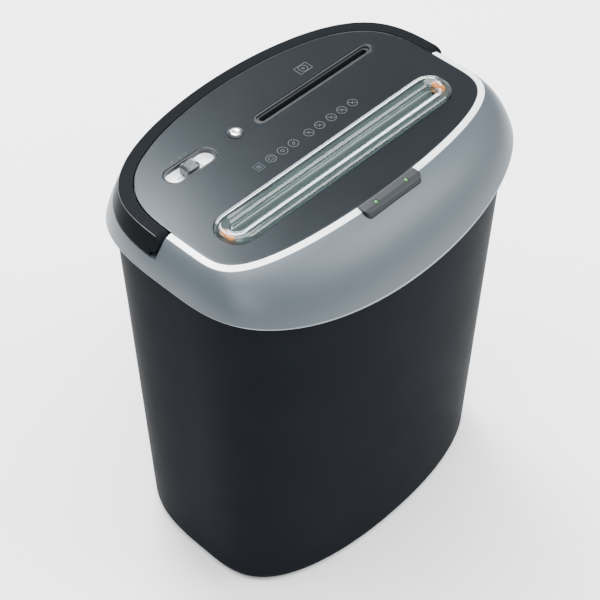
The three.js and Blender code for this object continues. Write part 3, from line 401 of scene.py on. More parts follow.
CLEAR = 0.02  # how far a cut runs on past the piece
skin_inner = plan_outline(DECK, SKIN_INNER)
skin_outer = plan_outline(SKIRT)


def skin_out(share):
    """How far out the skin has come, at a share of the way down."""
    return 0.5 * share + 0.5 * math.sin(share * math.pi / 2)


def skin_down(share):
    """How far down the skin has come, at a share of the way down."""
    return 0.5 * share + 0.5 * (1 - math.cos(share * math.pi / 2))


def skin_ring(share, grow=0.0, lift=0.0):
    """A ring on the skirt's skin, at one share of the way down or at a share for each corner."""
    inner = plan_outline(DECK, SKIN_INNER + grow)
    outer = plan_outline(SKIRT, grow)
    ring = []
    for i in range(PLAN_CORNERS):
        s = share[i] if isinstance(share, list) else share
        x, y = inner[i] + (outer[i] - inner[i]) * skin_out(s)
        edge_x = skin_inner[i][0] + (skin_outer[i][0] - skin_inner[i][0]) * skin_out(s)
        fall = SKIN_TOP - skin_down(s) * (skirt_drop(edge_x) + SKIN_TOP)
        ring.append(Vector((x, y, DECK_TOP + fall + lift)))
    return ring


def shares_at_depth(depth):
    """For each corner, the share of the way down at which the skin is that far below the deck."""
    shares = []
    for i in range(PLAN_CORNERS):
        low, high = 0.0, 1.0
        while high - low > 1e-6:
            s = (low + high) / 2
            x = skin_inner[i][0] + (skin_outer[i][0] - skin_inner[i][0]) * skin_out(s)
            if skin_down(s) * (skirt_drop(x) + SKIN_TOP) - SKIN_TOP < depth:
                low = s
            else:
                high = s
        shares.append(low)
    return shares


def levelled(ring, z):
    """The ring's plan, all at one height."""
    return [Vector((corner.x, corner.y, z)) for corner in ring]


HANDLE_PINS = ("handle_pin_left", "handle_pin_right")
handle_pivot = next(joint for joint in frame["joints"] if joint["name"] == "handle_pivot")
PIVOT = Vector(handle_pivot["pos_m"])
HANDLE_DEPTH = 0.017
NOSE_RADIUS = 0.0063
PIN_RADIUS = 0.0025
CHANNEL_FLOOR = DECK_TOP - HANDLE_DEPTH - 0.0008
CHANNEL_END = PIVOT.y - NOSE_RADIUS - 0.0005

lip = [(1, 0, -0.0002), (1, -0.0006, -0.0008), (1, -0.0014, -0.0010), (1, -0.0021, -0.0007)]
lip_rings = [skin_ring(share, grow, lift + LIP_LIFT) for share, grow, lift in reversed(lip)]
skin = [skin_ring(LIP_SHARE)]
skin += [skin_ring(1 - step / SKIN_STEPS) for step in range(1, SKIN_STEPS + 1)]
under_skin = [(0.72, -0.002), (0.86, -0.0018), (0.95, -0.0008)]
ledge = DECK_TOP - DECK_THICK - GAP
inner_skin = skin_ring(shares_at_depth(COLLAR_DEPTH - 0.003), -COLLAR_WALL)
collar_rings = lip_rings + skin
collar_rings += [
    plan_ring(DECK, SKIN_INNER, ledge),
    plan_ring(DECK, -COLLAR_LEDGE, ledge),
    plan_ring(DECK, -COLLAR_LEDGE, DECK_TOP - COLLAR_DEPTH),
    levelled(inner_skin, DECK_TOP - COLLAR_DEPTH),
]
collar_rings += [skin_ring(share, -COLLAR_WALL, lift) for share, lift in under_skin]
collar = draw_up("collar_cover", collar_rings, closed=True)

pod_low, pod_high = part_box("indicator_pod")
base_low, base_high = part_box("head_base")
screws = [f"case_screw_{number}" for number in range(1, 5)]
screw_places = []
for screw in screws:
    low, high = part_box(screw)
    screw_places.append(((low.x + high.x) / 2, (low.y + high.y) / 2))
BASE_FLOOR = 0.003
for x, y in screw_places:
    post = plain_rod(POST_RADIUS, base_low.z + BASE_FLOOR + GAP, POST_TOP)
    weld_on(collar, turned("post", post, (x, y, 0), 40))
gland_low, gland_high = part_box("cord_gland")
GLAND_AXIS = ((gland_low.x + gland_high.x) / 2, 0, (gland_low.z + gland_high.z) / 2)
GLAND_FLANGE = 0.002
boss_face = gland_high.y - GLAND_FLANGE - GAP
boss = [(0, boss_face - BOSS_DEPTH), (BOSS_RADIUS, boss_face - BOSS_DEPTH)]
boss += [(BOSS_RADIUS, boss_face - BOSS_EDGE), (BOSS_RADIUS - BOSS_EDGE, boss_face), (0, boss_face)]
weld_on(collar, turned("boss", boss, GLAND_AXIS, 64, "Y"))

channel = draw_up(
    "channel",
    [
        plan_ring(SKIRT, CLEAR, CHANNEL_FLOOR),
        plan_ring(SKIRT, CLEAR, DECK_TOP + CLEAR),
        plan_ring(DECK, 0.0001, DECK_TOP + CLEAR),
        plan_ring(DECK, 0.0001, CHANNEL_FLOOR),
    ],
    closed=True,
)


def keep_behind(piece, y, behind=True):
    """Cuts a piece straight across at a place along Y, closes the cut, and keeps one part."""
    bpy.context.view_layer.objects.active = piece
    bpy.ops.object.mode_set(mode="EDIT")
    bpy.ops.mesh.select_all(action="SELECT")
    bpy.ops.mesh.bisect(
        plane_co=(0, y, 0),
        plane_no=(0, 1, 0),
        use_fill=True,
        clear_inner=behind,
        clear_outer=not behind,
    )
    bpy.ops.mesh.select_all(action="SELECT")
    bpy.ops.mesh.normals_make_consistent(inside=False)
    bpy.ops.object.mode_set(mode="OBJECT")


def pod_block(grow):
    """The pod's plan with its two front corners rounded, as a plain block."""
    half = (pod_high.x - pod_low.x) / 2 + grow
    front = pod_low.y - grow
    rear = pod_high.y + (0.001 if grow else 0)
    corner = 0.005
    plan = [(half, rear), (-half, rear)]
    for centre_x, first in ((-half + corner, math.pi), (half - corner, 1.5 * math.pi)):
        for step in range(9):
            turn = first + step * math.pi / 16
            plan.append((centre_x + corner * math.cos(turn), front + corner + corner * math.sin(turn)))
    levels = (pod_low.z - grow, pod_high.z + grow)
    return draw_up("pod_block", [[Vector((x, y, z)) for x, y in plan] for z in levels])


def pin_hole(pin):
    """The bore for one of the pins that the handle turns on."""
    low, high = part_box(pin)
    bore = plain_rod(PIN_RADIUS + GAP, low.x - GAP, high.x + GAP)
    return turned("hole", bore, (0, PIVOT.y, PIVOT.z), 40, "X")


keep_behind(channel, CHANNEL_END)
cut_away(collar, channel, pod_block(GAP))
for pin in HANDLE_PINS:
    cut_away(collar, pin_hole(pin))
gland_hole = plain_rod(GLAND_BORE, boss_face - 0.06, boss_face + CLEAR)
cut_away(collar, turned("hole", gland_hole, GLAND_AXIS, 64, "Y"))
for x, y in screw_places:
    pilot = plain_rod(PILOT_RADIUS, base_low.z, base_low.z + PILOT_DEPTH)
    cut_away(collar, turned("pilot", pilot, (x, y, 0), 24))
smooth(collar, 30)


def metallic_paint(name, colour, metal, roughness, coat, flake=0.00035):
    """Sprayed metallic paint: small flakes that lie unevenly under a thin clear coat."""
    finish, nodes, links, shader, place = new_finish(name)
    flakes = noise(nodes, links, place, flake, 4)
    tone(nodes, links, flakes, colour, 0.10, shader.inputs["Base Color"])
    wandering = noise(nodes, links, place, 0.03, 3)
    sheen_range(nodes, links, wandering, roughness - 0.006, roughness + 0.008, shader.inputs["Roughness"])
    relief(nodes, links, flakes, 0.00001, 0.08, shader)
    shader.inputs["Metallic"].default_value = metal
    shader.inputs["Coat Weight"].default_value = coat
    shader.inputs["Coat Roughness"].default_value = 0.12
    return finish


silver = metallic_paint("collar_paint", (0.067, 0.083, 0.097), 0.35, 0.42, 0.04)
dress(collar, silver)
# A lighter copy of the collar's paint round its turned-over lower edge: a painted highlight along the lip.
lip_highlight_paint = metallic_paint("collar_lip_painted_highlight", (0.22, 0.25, 0.28), 0.3, 0.35, 0.05)
collar.data.materials.append(lip_highlight_paint)
for face in collar.data.polygons:
    drop = skirt_drop(face.center.x)
    over_the_edge = face.center.z - (DECK_TOP - drop)
    out_from_middle = Vector((face.center.x, face.center.y - PLAN_MIDDLE, 0)).normalized()
    in_highlight_band = -0.001 < over_the_edge < LIP_HIGHLIGHT_BAND + LIP_HIGHLIGHT_SLOPE * drop
    if in_highlight_band and face.normal.dot(out_from_middle) > 0.2:
        face.material_index = 1
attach(collar, "head")
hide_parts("collar")

# ---- Rim trim ----
# A bright strip in two lengths that fills the bevel between deck and collar, from the handle's
# ends to the pod. Each is moulded in white-silver plastic and pressed into the collar.
TRIM_LOW = -0.0029
trim_section = [
    (GAP, TRIM_LOW),
    (SKIN_INNER - GAP, TRIM_LOW),
    (SKIN_INNER - GAP, -TRIM_FALL - 0.0002),
    (SKIN_INNER - GAP - 0.0002, -TRIM_FALL),
    (GAP + 0.0002, -0.0002),
    (GAP, -0.0004),
]


def block(centre, size, turn=0.0):
    """A plain block."""
    bpy.ops.object.select_all(action="DESELECT")
    bpy.ops.mesh.primitive_cube_add(size=1, location=centre, rotation=(0, 0, turn), scale=size)
    return bpy.context.object


bright = metallic_paint("trim_silver", (0.86, 0.88, 0.90), 0.15, 0.28, 0.3)
for side, sign in (("left", 1), ("right", -1)):
    trim = draw_up(
        f"rim_trim_{side}_strip",
        [plan_ring(DECK, grow, DECK_TOP + z) for grow, z in trim_section],
        closed=True,
    )
    keep_behind(trim, CHANNEL_END - GAP, behind=False)
    cut_away(trim, pod_block(GAP))
    other_side = block((sign * 0.2, 0, DECK_TOP), (0.4, 1, 1))
    cut_away(trim, other_side)
    smooth(trim, 25)
    dress(trim, bright)
    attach(trim, "head")
    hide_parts(f"rim_trim_{side}")

# ---- Top panel ----
# The deck plate in metallic graphite, with a small radius round its edge and round each opening.
# It holds the paper guard, the disc slot, the switch and the button, and carries the board under it.
window_low, window_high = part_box("feed_window")
disc_low, disc_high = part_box("disc_throat")
well_low, well_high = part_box("switch_well")
bezel_low, bezel_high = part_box("button_bezel")
board_low, board_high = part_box("circuit_board")
WINDOW = {
    "x": (window_low.x + window_high.x) / 2,
    "y": (window_low.y + window_high.y) / 2,
    "length": window_high.x - window_low.x,
    "width": window_high.y - window_low.y,
}
FLANGE_LAP = 0.005
WELL_LAP = 0.002
DISC_SLOT = {
    "x": (disc_low.x + disc_high.x) / 2,
    "y": (disc_low.y + disc_high.y) / 2,
    "length": disc_high.x - disc_low.x - 2 * FLANGE_LAP,
    "width": disc_high.y - disc_low.y - 2 * FLANGE_LAP,
}
SWITCH = {
    "x": (well_low.x + well_high.x) / 2,
    "y": (well_low.y + well_high.y) / 2,
    "length": well_high.x - well_low.x - 2 * WELL_LAP,
    "width": well_high.y - well_low.y - 2 * WELL_LAP,
}
BUTTON = ((bezel_low.x + bezel_high.x) / 2, (bezel_low.y + bezel_high.y) / 2)
BEZEL_RADIUS = (bezel_high.x - bezel_low.x) / 2
BEZEL_LIP = 0.0007
BOARD_POST = {"radius": 0.003, "inset": 0.004}


def slot_ring(slot, inset, z, steps=24):
    """A ring with straight sides and round ends, that far inside a slot's outline."""
    half = (slot["length"] - slot["width"]) / 2
    radius = slot["width"] / 2 - inset
    ring = []
    for side, first in ((1, -0.5), (-1, 0.5)):
        for step in range(steps + 1):
            turn = (first + step / steps) * math.pi
            x = slot["x"] + side * half + radius * math.cos(turn)
            ring.append(Vector((x, slot["y"] + radius * math.sin(turn), z)))
    return ring


def slot_body(name, slot, profile, closed=False):
    """A body that runs round a slot, from insets and heights over the deck."""
    return draw_up(name, [slot_ring(slot, inset, DECK_TOP + z) for inset, z in profile], closed)


def opening(slot):
    """What is cut away for a slot: a little wider at the very top, where the edge is rounded."""
    profile = [(-GAP, -0.03), (-GAP, -0.0005), (-GAP - 0.00015, -0.00015), (-GAP - 0.0005, 0.0)]
    return slot_body("opening", slot, profile + [(-GAP - 0.0005, CLEAR)])


deck_edge = [(0, -DECK_THICK), (0, -0.0008), (-0.0001, -0.0004), (-0.0004, -0.0001), (-0.0008, 0)]
deck = draw_up("top_panel_deck", [plan_ring(DECK, grow, DECK_TOP + z) for grow, z in deck_edge])
board_post = plain_rod(BOARD_POST["radius"], board_high.z + GAP, DECK_TOP - 0.001)
for x in (board_low.x + BOARD_POST["inset"], board_high.x - BOARD_POST["inset"]):
    for y in (board_low.y + BOARD_POST["inset"], board_high.y - BOARD_POST["inset"]):
        weld_on(deck, turned("board_post", board_post, (x, y, 0), 24))
button_hole = plain_rod(BEZEL_RADIUS - BEZEL_LIP, DECK_TOP - CLEAR, DECK_TOP + CLEAR / 2)
cut_away(deck, opening(WINDOW), opening(DISC_SLOT), opening(SWITCH))
cut_away(deck, turned("hole", button_hole, (*BUTTON, 0), 64))
smooth(deck, 30)
graphite = metallic_paint("deck_paint", (0.030, 0.036, 0.041), 0.85, 0.20, 0.0, 0.00030)
dress(deck, graphite)
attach(deck, "head")
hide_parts("top_panel")

# ---- Printed marks ----
# Plain signs in pale grey ink on the deck: what may be fed, what may not, a disc beside its slot
# and three ticks at the switch's places. Each is a film of ink that thin, lying on the paint.
INK_LOW = DECK_TOP + 0.00001
INK_HIGH = DECK_TOP + 0.00005
STROKE = 0.00045
SIGN_RADIUS = 0.0044
SIGNS_Y = 0.0045
FED_SIGNS = (-0.051, -0.0375, -0.0248, -0.0125)
BARRED_SIGNS = (0.0049, 0.0173, 0.0306, 0.0429, 0.0555)
RULED_LINE = 0.0036
CARD_REACH = 0.0028
CLIP_WIRE = 0.0040
BARRED_WIRE = 0.0038
DISC_SIGN = (0.059, 0.063)
DISC_RADIUS = 0.0042
DISC_HOLE = 0.0013
DISC_FRAME = {"half": (0.0068, 0.0044), "bars": (0.0084, 0.0140)}
SWITCH_SIGNS = (-0.0943, -0.0865, -0.0796)
SWITCH_SIGNS_Y = 0.0563
SWITCH_TICK = 0.0022


def printed_ring(x, y, radius, corners=40, start=0.0):
    """An outline in ink: a circle, or with four corners a square."""
    inner = radius - STROKE
    turns = [start + 2 * math.pi * i / corners for i in range(corners)]
    rings = []
    for r, z in ((radius, INK_LOW), (radius, INK_HIGH), (inner, INK_HIGH), (inner, INK_LOW)):
        rings.append([Vector((x + r * math.cos(t), y + r * math.sin(t), z)) for t in turns])
    return draw_up("sign", rings, closed=True)


def printed_bar(x, y, length, degrees):
    """A straight stroke in ink."""
    centre = (x, y, (INK_LOW + INK_HIGH) / 2)
    return block(centre, (length, STROKE, INK_HIGH - INK_LOW), math.radians(degrees))


sheet, card, disc, clip = FED_SIGNS
signs = [printed_ring(sheet, SIGNS_Y, SIGN_RADIUS * 1.2, 4, math.pi / 4)]
signs += [printed_bar(sheet, SIGNS_Y + step, RULED_LINE, 0) for step in (-0.0013, 0, 0.0013)]
signs += [printed_ring(x, SIGNS_Y, SIGN_RADIUS) for x in (card, disc, clip)]
signs += [printed_ring(card, SIGNS_Y, CARD_REACH, 4, math.pi / 4), printed_ring(disc, SIGNS_Y, 0.0016)]
signs += [printed_bar(clip + step, SIGNS_Y, CLIP_WIRE, 60) for step in (-0.0009, 0.0009)]
for sign_x in BARRED_SIGNS:
    signs += [printed_ring(sign_x, SIGNS_Y, SIGN_RADIUS)]
    signs += [printed_bar(sign_x, SIGNS_Y, 2 * SIGN_RADIUS, 135)]
    signs += [printed_bar(sign_x, SIGNS_Y, BARRED_WIRE, 40)]
signs += [printed_ring(*DISC_SIGN, DISC_RADIUS), printed_ring(*DISC_SIGN, DISC_HOLE, 24)]
sign_x, sign_y = DISC_SIGN
half_x, half_y = DISC_FRAME["half"]
upright, level = DISC_FRAME["bars"]
signs += [printed_bar(sign_x + side * half_x, sign_y, upright, 90) for side in (-1, 1)]
signs += [printed_bar(sign_x, sign_y + side * half_y, level, 0) for side in (-1, 1)]
signs += [printed_bar(x, SWITCH_SIGNS_Y, SWITCH_TICK, 90) for x in SWITCH_SIGNS]
bpy.ops.object.select_all(action="DESELECT")
for sign in signs:
    sign.select_set(True)
bpy.context.view_layer.objects.active = signs[0]
bpy.ops.object.join()
marks = bpy.context.object
marks.name = marks.data.name = "printed_marks"
bpy.ops.object.transform_apply(location=True, rotation=True, scale=True)
ink = moulded_plastic("deck_ink", (0.065, 0.075, 0.085), 0.5, 0.0003, 0.00001, gloss=0.1)
dress(marks, ink)
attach(marks, "head")

# ---- Carry handle ----
# A bail in black moulded plastic, lying in its channel round the rear half of the deck with its
# top flush. Its outer face follows the collar's flare, and it turns on a steel pin at each end.
HANDLE_IN = 0.0006
HANDLE_WIDTH = 0.0105
HANDLE_PROUD = 0.001
PIN_CHAMFER = 0.0005
top_outer = HANDLE_IN + HANDLE_WIDTH
handle_foot = DECK_TOP - HANDLE_DEPTH
lower_face = shares_at_depth(HANDLE_DEPTH - 0.002)
outer_face = shares_at_depth(HANDLE_DEPTH - 0.003)
handle_rings = [
    levelled(skin_ring(lower_face, HANDLE_PROUD - 0.0012), handle_foot),
    levelled(skin_ring(lower_face, HANDLE_PROUD), handle_foot + 0.001),
    levelled(skin_ring(outer_face, HANDLE_PROUD), handle_foot + 0.003),
    plan_ring(DECK, top_outer, DECK_TOP - 0.0010),
    plan_ring(DECK, top_outer - 0.0002, DECK_TOP - 0.0005),
    plan_ring(DECK, top_outer - 0.0005, DECK_TOP - 0.0002),
    plan_ring(DECK, top_outer - 0.0010, DECK_TOP),
    plan_ring(DECK, HANDLE_IN + 0.0005, DECK_TOP),
    plan_ring(DECK, HANDLE_IN + 0.0001, DECK_TOP - 0.0001),
    plan_ring(DECK, HANDLE_IN, DECK_TOP - 0.0005),
    plan_ring(DECK, HANDLE_IN, handle_foot),
]
handle = draw_up("carry_handle_bail", handle_rings, closed=True)
ahead = block((0, PIVOT.y - 0.25, DECK_TOP), (1, 0.5, 1))
nose = plain_rod(NOSE_RADIUS, -0.3, 0.3)
cut_away(ahead, turned("nose", nose, (0, PIVOT.y, PIVOT.z), 96, "X"))
cut_away(handle, ahead)
for pin in HANDLE_PINS:
    cut_away(handle, pin_hole(pin))
smooth(handle, 30)
black_handle = moulded_plastic("handle_plastic", (0.0062, 0.0074, 0.0086), 0.32, 0.0005, gloss=0.01)
dress(handle, black_handle)
# A lighter grey on the rounded outer edge of the handle's top: a painted highlight line, not a polished or worn
# edge.
edge_highlight_paint = metallic_paint("handle_edge_painted_highlight", (0.16, 0.17, 0.18), 0.5, 0.30, 0.0)
handle.data.materials.append(edge_highlight_paint)
for face in handle.data.polygons:
    outwards = face.normal.x * face.center.x + face.normal.y * (face.center.y - PLAN_MIDDLE)
    if 0.45 < face.normal.z < 0.9 and outwards > 0 and face.center.z > DECK_TOP - 0.001:
        face.material_index = 1
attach(handle, "handle")
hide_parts("carry_handle")


def plated_steel(name, colour, roughness, streak=(1, 1, 1)):
    """Bare or plated steel: fine drawn streaks, and a dull bloom here and there."""
    finish, nodes, links, shader, place = new_finish(name)
    stretch = nodes.new("ShaderNodeMapping")
    stretch.inputs["Scale"].default_value = streak
    links.new(place, stretch.inputs["Vector"])
    drawn = noise(nodes, links, stretch.outputs["Vector"], 0.0006, 3)
    tone(nodes, links, drawn, colour, 0.12, shader.inputs["Base Color"])
    bloom = noise(nodes, links, place, 0.012, 4)
    sheen_range(nodes, links, bloom, roughness - 0.06, roughness + 0.10, shader.inputs["Roughness"])
    relief(nodes, links, drawn, 0.00002, 0.3, shader)
    shader.inputs["Metallic"].default_value = 1.0
    return finish


steel = plated_steel("zinc_steel", (0.52, 0.53, 0.55), 0.32, (0.08, 1, 1))
for pin in HANDLE_PINS:
    low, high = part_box(pin)
    profile = [(0, low.x), (PIN_RADIUS - PIN_CHAMFER, low.x), (PIN_RADIUS, low.x + PIN_CHAMFER)]
    profile += [(PIN_RADIUS, high.x - PIN_CHAMFER), (PIN_RADIUS - PIN_CHAMFER, high.x), (0, high.x)]
    rod = turned(pin + "_rod", profile, (0, PIVOT.y, PIVOT.z), 40, "X")
    smooth(rod)
    dress(rod, steel)
    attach(rod, "handle")
    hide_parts(pin)

# ---- Indicator pod and its two lights ----
# A dark grey tab clipped over the front rim, with a bevelled front. Two small green lights show
# through it: power, and bin seated.
LENS_DOME = 0.0008
pod_front = pod_low.y
side_profile = [
    (pod_high.y, pod_low.z),
    (pod_high.y, pod_high.z - 0.0005),
    (pod_high.y - 0.0006, pod_high.z - 0.00015),
    (pod_high.y - 0.002, pod_high.z),
    (pod_front + 0.0048, pod_high.z),
    (pod_front + 0.0040, pod_high.z - 0.0003),
    (pod_front + 0.0017, pod_high.z - 0.0013),
    (pod_front + 0.0008, pod_high.z - 0.0024),
    (pod_front, pod_high.z - 0.0044),
    (pod_front, pod_low.z),
]
pod = pod_block(0)
pod.name = pod.data.name = "indicator_pod_tab"
apply_boolean(pod, bar_along_x("slice", side_profile, pod_low.x - 0.001, pod_high.x + 0.001), "INTERSECT")
leds = {}
for led in ("led_left", "led_right"):
    low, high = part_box(led)
    leds[led] = ((low.x + high.x) / 2, (low.y + high.y) / 2, low.z, high.z, (high.x - low.x) / 2)
for x, y, z0, z1, radius in leds.values():
    hole = plain_rod(radius + GAP, z0 - GAP, z1 + CLEAR / 2)
    cut_away(pod, turned("hole", hole, (x, y, 0), 40))
smooth(pod, 20)
pod_paint = metallic_paint("pod_paint", (0.012, 0.015, 0.018), 0.4, 0.40, 0.0)
dress(pod, pod_paint)
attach(pod, "head")
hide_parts("indicator_pod")


def lit_lens(name, colour, glow, strength):
    """A small moulded lens with a light behind it, its colour and glow speckled a little."""
    finish, nodes, links, shader, place = new_finish(name)
    speckle = noise(nodes, links, place, 0.0008, 2)
    tone(nodes, links, speckle, colour, 0.15, shader.inputs["Base Color"])
    tone(nodes, links, speckle, glow, 0.2, shader.inputs["Emission Color"])
    shader.inputs["Emission Strength"].default_value = strength
    shader.inputs["Roughness"].default_value = 0.2
    return finish


green_lens = lit_lens("green_lens", (0.02, 0.10, 0.025), (0.03, 0.30, 0.04), 0.03)
for led, (x, y, z0, z1, radius) in leds.items():
    shoulder = z1 - LENS_DOME
    dome = [(0, z0), (radius, z0), (radius, shoulder)]
    dome += [(radius * math.cos(t), shoulder + LENS_DOME * math.sin(t)) for t in (0.4, 0.8, 1.2)]
    lens = turned(led + "_lens", dome + [(0, z1)], (x, y, 0), 40)
    smooth(lens, 60)
    dress(lens, green_lens)
    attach(lens, "head")
    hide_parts(led)

# ---- Paper feed ----
# A guard in clear tinted plastic stands round the paper slot and keeps fingers out. It seats in
# the deck over a black throat that leads the paper down to the cutters, with an amber light at
# each end.
window_section = [
    (0, -0.0030),
    (0, 0.0002),
    (0.0002, 0.0014),
    (0.0008, 0.0026),
    (0.0019, 0.0037),
    (0.0033, 0.0045),
    (0.0050, 0.0048),
    (0.0068, 0.0047),
    (0.0085, 0.0042),
    (0.0100, 0.0034),
    (0.0114, 0.0023),
    (0.0124, 0.0012),
    (0.0129, 0.0000),
    (0.0130, -0.0010),
    (0.0130, -0.0030),
    (0.0106, -0.0030),
    (0.0106, -0.0004),
    (0.0101, 0.0004),
    (0.0092, 0.0011),
    (0.0078, 0.0018),
    (0.0064, 0.0023),
    (0.0050, 0.0024),
    (0.0038, 0.0021),
    (0.0030, 0.0014),
    (0.0026, 0.0006),
    (0.0024, -0.0030),
]
guard = slot_body("feed_window_guard", WINDOW, window_section, closed=True)
smooth(guard, 50)


def clear_plastic(name, colour, roughness, transmission):
    """Clear polycarbonate with a faint tint, and a gloss that wanders a little from place to place."""
    finish, nodes, links, shader, place = new_finish(name)
    wandering = noise(nodes, links, place, 0.05, 2)
    tone(nodes, links, wandering, colour, 0.02, shader.inputs["Base Color"])
    sheen_range(nodes, links, wandering, roughness, roughness + 0.02, shader.inputs["Roughness"])
    shader.inputs["Transmission Weight"].default_value = transmission
    shader.inputs["IOR"].default_value = 1.53
    return finish


clear = clear_plastic("guard_plastic", (0.38, 0.45, 0.46), 0.05, 0.97)
dress(guard, clear)
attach(guard, "head")
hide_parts("feed_window")

throat_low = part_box("feed_throat")[0]
guide_grey = moulded_plastic("guide_plastic", (0.19, 0.245, 0.235), 0.3, 0.0005)
throat_black = moulded_plastic("throat_plastic", (0.014, 0.016, 0.019), 0.35, 0.0005, gloss=0.3)
FLANGE_TOP = -DECK_THICK - GAP
PAPER_GUIDE = {**WINDOW, "length": 0.228, "width": 0.007}
CHUTE_WALL = 0.003
throat = slot_body(
    "feed_throat_guide",
    WINDOW,
    [
        (-FLANGE_LAP, FLANGE_TOP - 0.003),
        (-FLANGE_LAP, FLANGE_TOP - 0.0004),
        (-FLANGE_LAP + 0.0004, FLANGE_TOP),
    ],
)
chute_length = 2 * (PAPER_GUIDE["length"] / 2 + CHUTE_WALL)
chute_width = 2 * (PAPER_GUIDE["width"] / 2 + CHUTE_WALL)
chute_top = DECK_TOP + FLANGE_TOP - 0.001
chute_centre = (WINDOW["x"], WINDOW["y"], (throat_low.z + chute_top) / 2)
weld_on(throat, block(chute_centre, (chute_length, chute_width, chute_top - throat_low.z)))
mouth = [(0, -0.08), (0, FLANGE_TOP - 0.0015), (-0.0004, FLANGE_TOP - 0.0005), (-0.0015, FLANGE_TOP)]
cut_away(throat, slot_body("mouth", PAPER_GUIDE, mouth + [(-0.0015, 0.01)]))
smooth(throat, 30)
dress(throat, throat_black)
throat.data.materials.append(guide_grey)
for face in throat.data.polygons:
    across = abs(face.center.y - WINDOW["y"])
    if across < PAPER_GUIDE["width"] / 2 + 0.0016 and abs(face.normal.x) < 0.9:
        face.material_index = 1
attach(throat, "head")
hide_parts("feed_throat")


def placed_block(name, centre, size, cuts=0):
    """A plain block that carries its place in its mesh."""
    piece = block((0, 0, 0), (1, 1, 1))
    piece.name = piece.data.name = name
    bpy.ops.object.mode_set(mode="EDIT")
    if cuts:
        bpy.ops.mesh.subdivide(number_cuts=cuts)
    bpy.ops.transform.resize(value=tuple(size))
    bpy.ops.transform.translate(value=tuple(centre))
    bpy.ops.object.mode_set(mode="OBJECT")
    return piece


def round_edges(piece, width, segments):
    """A small radius on every sharp edge."""
    modifier = piece.modifiers.new("edges", "BEVEL")
    modifier.width = width
    modifier.segments = segments
    modifier.limit_method = "ANGLE"
    modifier.angle_limit = math.radians(35)
    bpy.context.view_layer.objects.active = piece
    bpy.ops.object.modifier_apply(modifier="edges")


amber_lens = lit_lens("amber_lens", (0.9, 0.25, 0.01), (1.0, 0.23, 0.0), 3.2)
for lamp in ("feed_lamp_left", "feed_lamp_right"):
    low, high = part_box(lamp)
    lens = placed_block(lamp + "_lens", (low + high) / 2, high - low, 2)
    round_edges(lens, 0.0008, 4)
    smooth(lens, 60)
    dress(lens, amber_lens)
    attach(lens, "head")
    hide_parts(lamp)

# ---- Disc slot ----
# A black insert for discs and cards, with a sunken groove round its slit. Its flange is welded
# under the deck and its chute leads down to the short pair of disc cutters.
DISC_SLIT = {**DISC_SLOT, "length": 0.124, "width": 0.005}
DISC_GROOVE = {**DISC_SLOT, "length": DISC_SLOT["length"] - 0.004, "width": DISC_SLOT["width"] - 0.003}
disc_top = -GAP
insert = slot_body(
    "disc_throat_insert",
    DISC_SLOT,
    [
        (0, disc_low.z - DECK_TOP),
        (0, FLANGE_TOP - 0.003),
        (-FLANGE_LAP, FLANGE_TOP - 0.003),
        (-FLANGE_LAP, FLANGE_TOP),
        (0, FLANGE_TOP),
        (0, disc_top - 0.0004),
        (0.0001, disc_top - 0.0001),
        (0.0004, disc_top),
    ],
)
groove = [(0, -0.0020), (0, disc_top - 0.0005), (-0.0002, disc_top - 0.0001), (-0.0005, disc_top + 0.0001)]
slit = [(0, -0.08), (0, -0.0026), (-0.0002, -0.0021), (-0.0006, -0.0019)]
cut_away(insert, slot_body("groove", DISC_GROOVE, groove + [(-0.0005, 0.01)]))
cut_away(insert, slot_body("slit", DISC_SLIT, slit + [(-0.0006, 0.01)]))
smooth(insert, 30)
dress(insert, throat_black)
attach(insert, "head")
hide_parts("disc_throat")

# ---- Mode switch ----
# A white well sunk into the deck, with a grey knob that slides along it between three places. The
# knob has a chamfered top and a stem through the well's floor to the switch on the board.
WELL_FLOOR = -0.0075
# How far down the well's walls the dark band of painted shade reaches.
WELL_SHADE_DEPTH = 0.0042
WELL_WALL = 0.0015
KNOB_TRAVEL = 0.009
KNOB_STEM = (0.004, 0.003)
SHUTTER = {"lap": 0.001, "half_width": 0.004, "thick": 0.0005}
knob_low, knob_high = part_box("mode_knob")
well = slot_body(
    "switch_well_cup",
    SWITCH,
    [
        (-WELL_LAP, well_low.z - DECK_TOP),
        (-WELL_LAP, FLANGE_TOP),
        (0, FLANGE_TOP),
        (0, -GAP - 0.0003),
        (0.0003, -GAP),
    ],
)
bowl = [
    (WELL_WALL + 0.0030, WELL_FLOOR),
    (WELL_WALL + 0.0014, WELL_FLOOR + 0.0004),
    (WELL_WALL + 0.0004, WELL_FLOOR + 0.0014),
    (WELL_WALL, WELL_FLOOR + 0.0030),
    (WELL_WALL, -WELL_SHADE_DEPTH),
    (WELL_WALL, -GAP - 0.0004),
    (WELL_WALL - 0.0004, -GAP),
    (WELL_WALL - 0.0004, 0.01),
]
stem_slot = {**SWITCH, "length": 0.026, "width": 0.005}
cut_away(well, slot_body("bowl", SWITCH, bowl))
cut_away(well, slot_body("stem_slot", stem_slot, [(0, -0.02), (0, 0.01)]))
smooth(well, 30)
white = moulded_plastic("well_plastic", (0.90, 0.91, 0.93), 0.35, 0.0005)
dress(well, white)
# The rim and the top of the well's walls take the black finish: a dark rim, with painted shade down the upper
# walls of the recess.
well.data.materials.append(throat_black)
for face in well.data.polygons:
    if face.center.z > DECK_TOP - WELL_SHADE_DEPTH:
        face.material_index = 1
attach(well, "head")
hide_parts("switch_well")

knob_x = (knob_low.x + knob_high.x) / 2
knob_y = (knob_low.y + knob_high.y) / 2
knob_half = (knob_high - knob_low) / 2


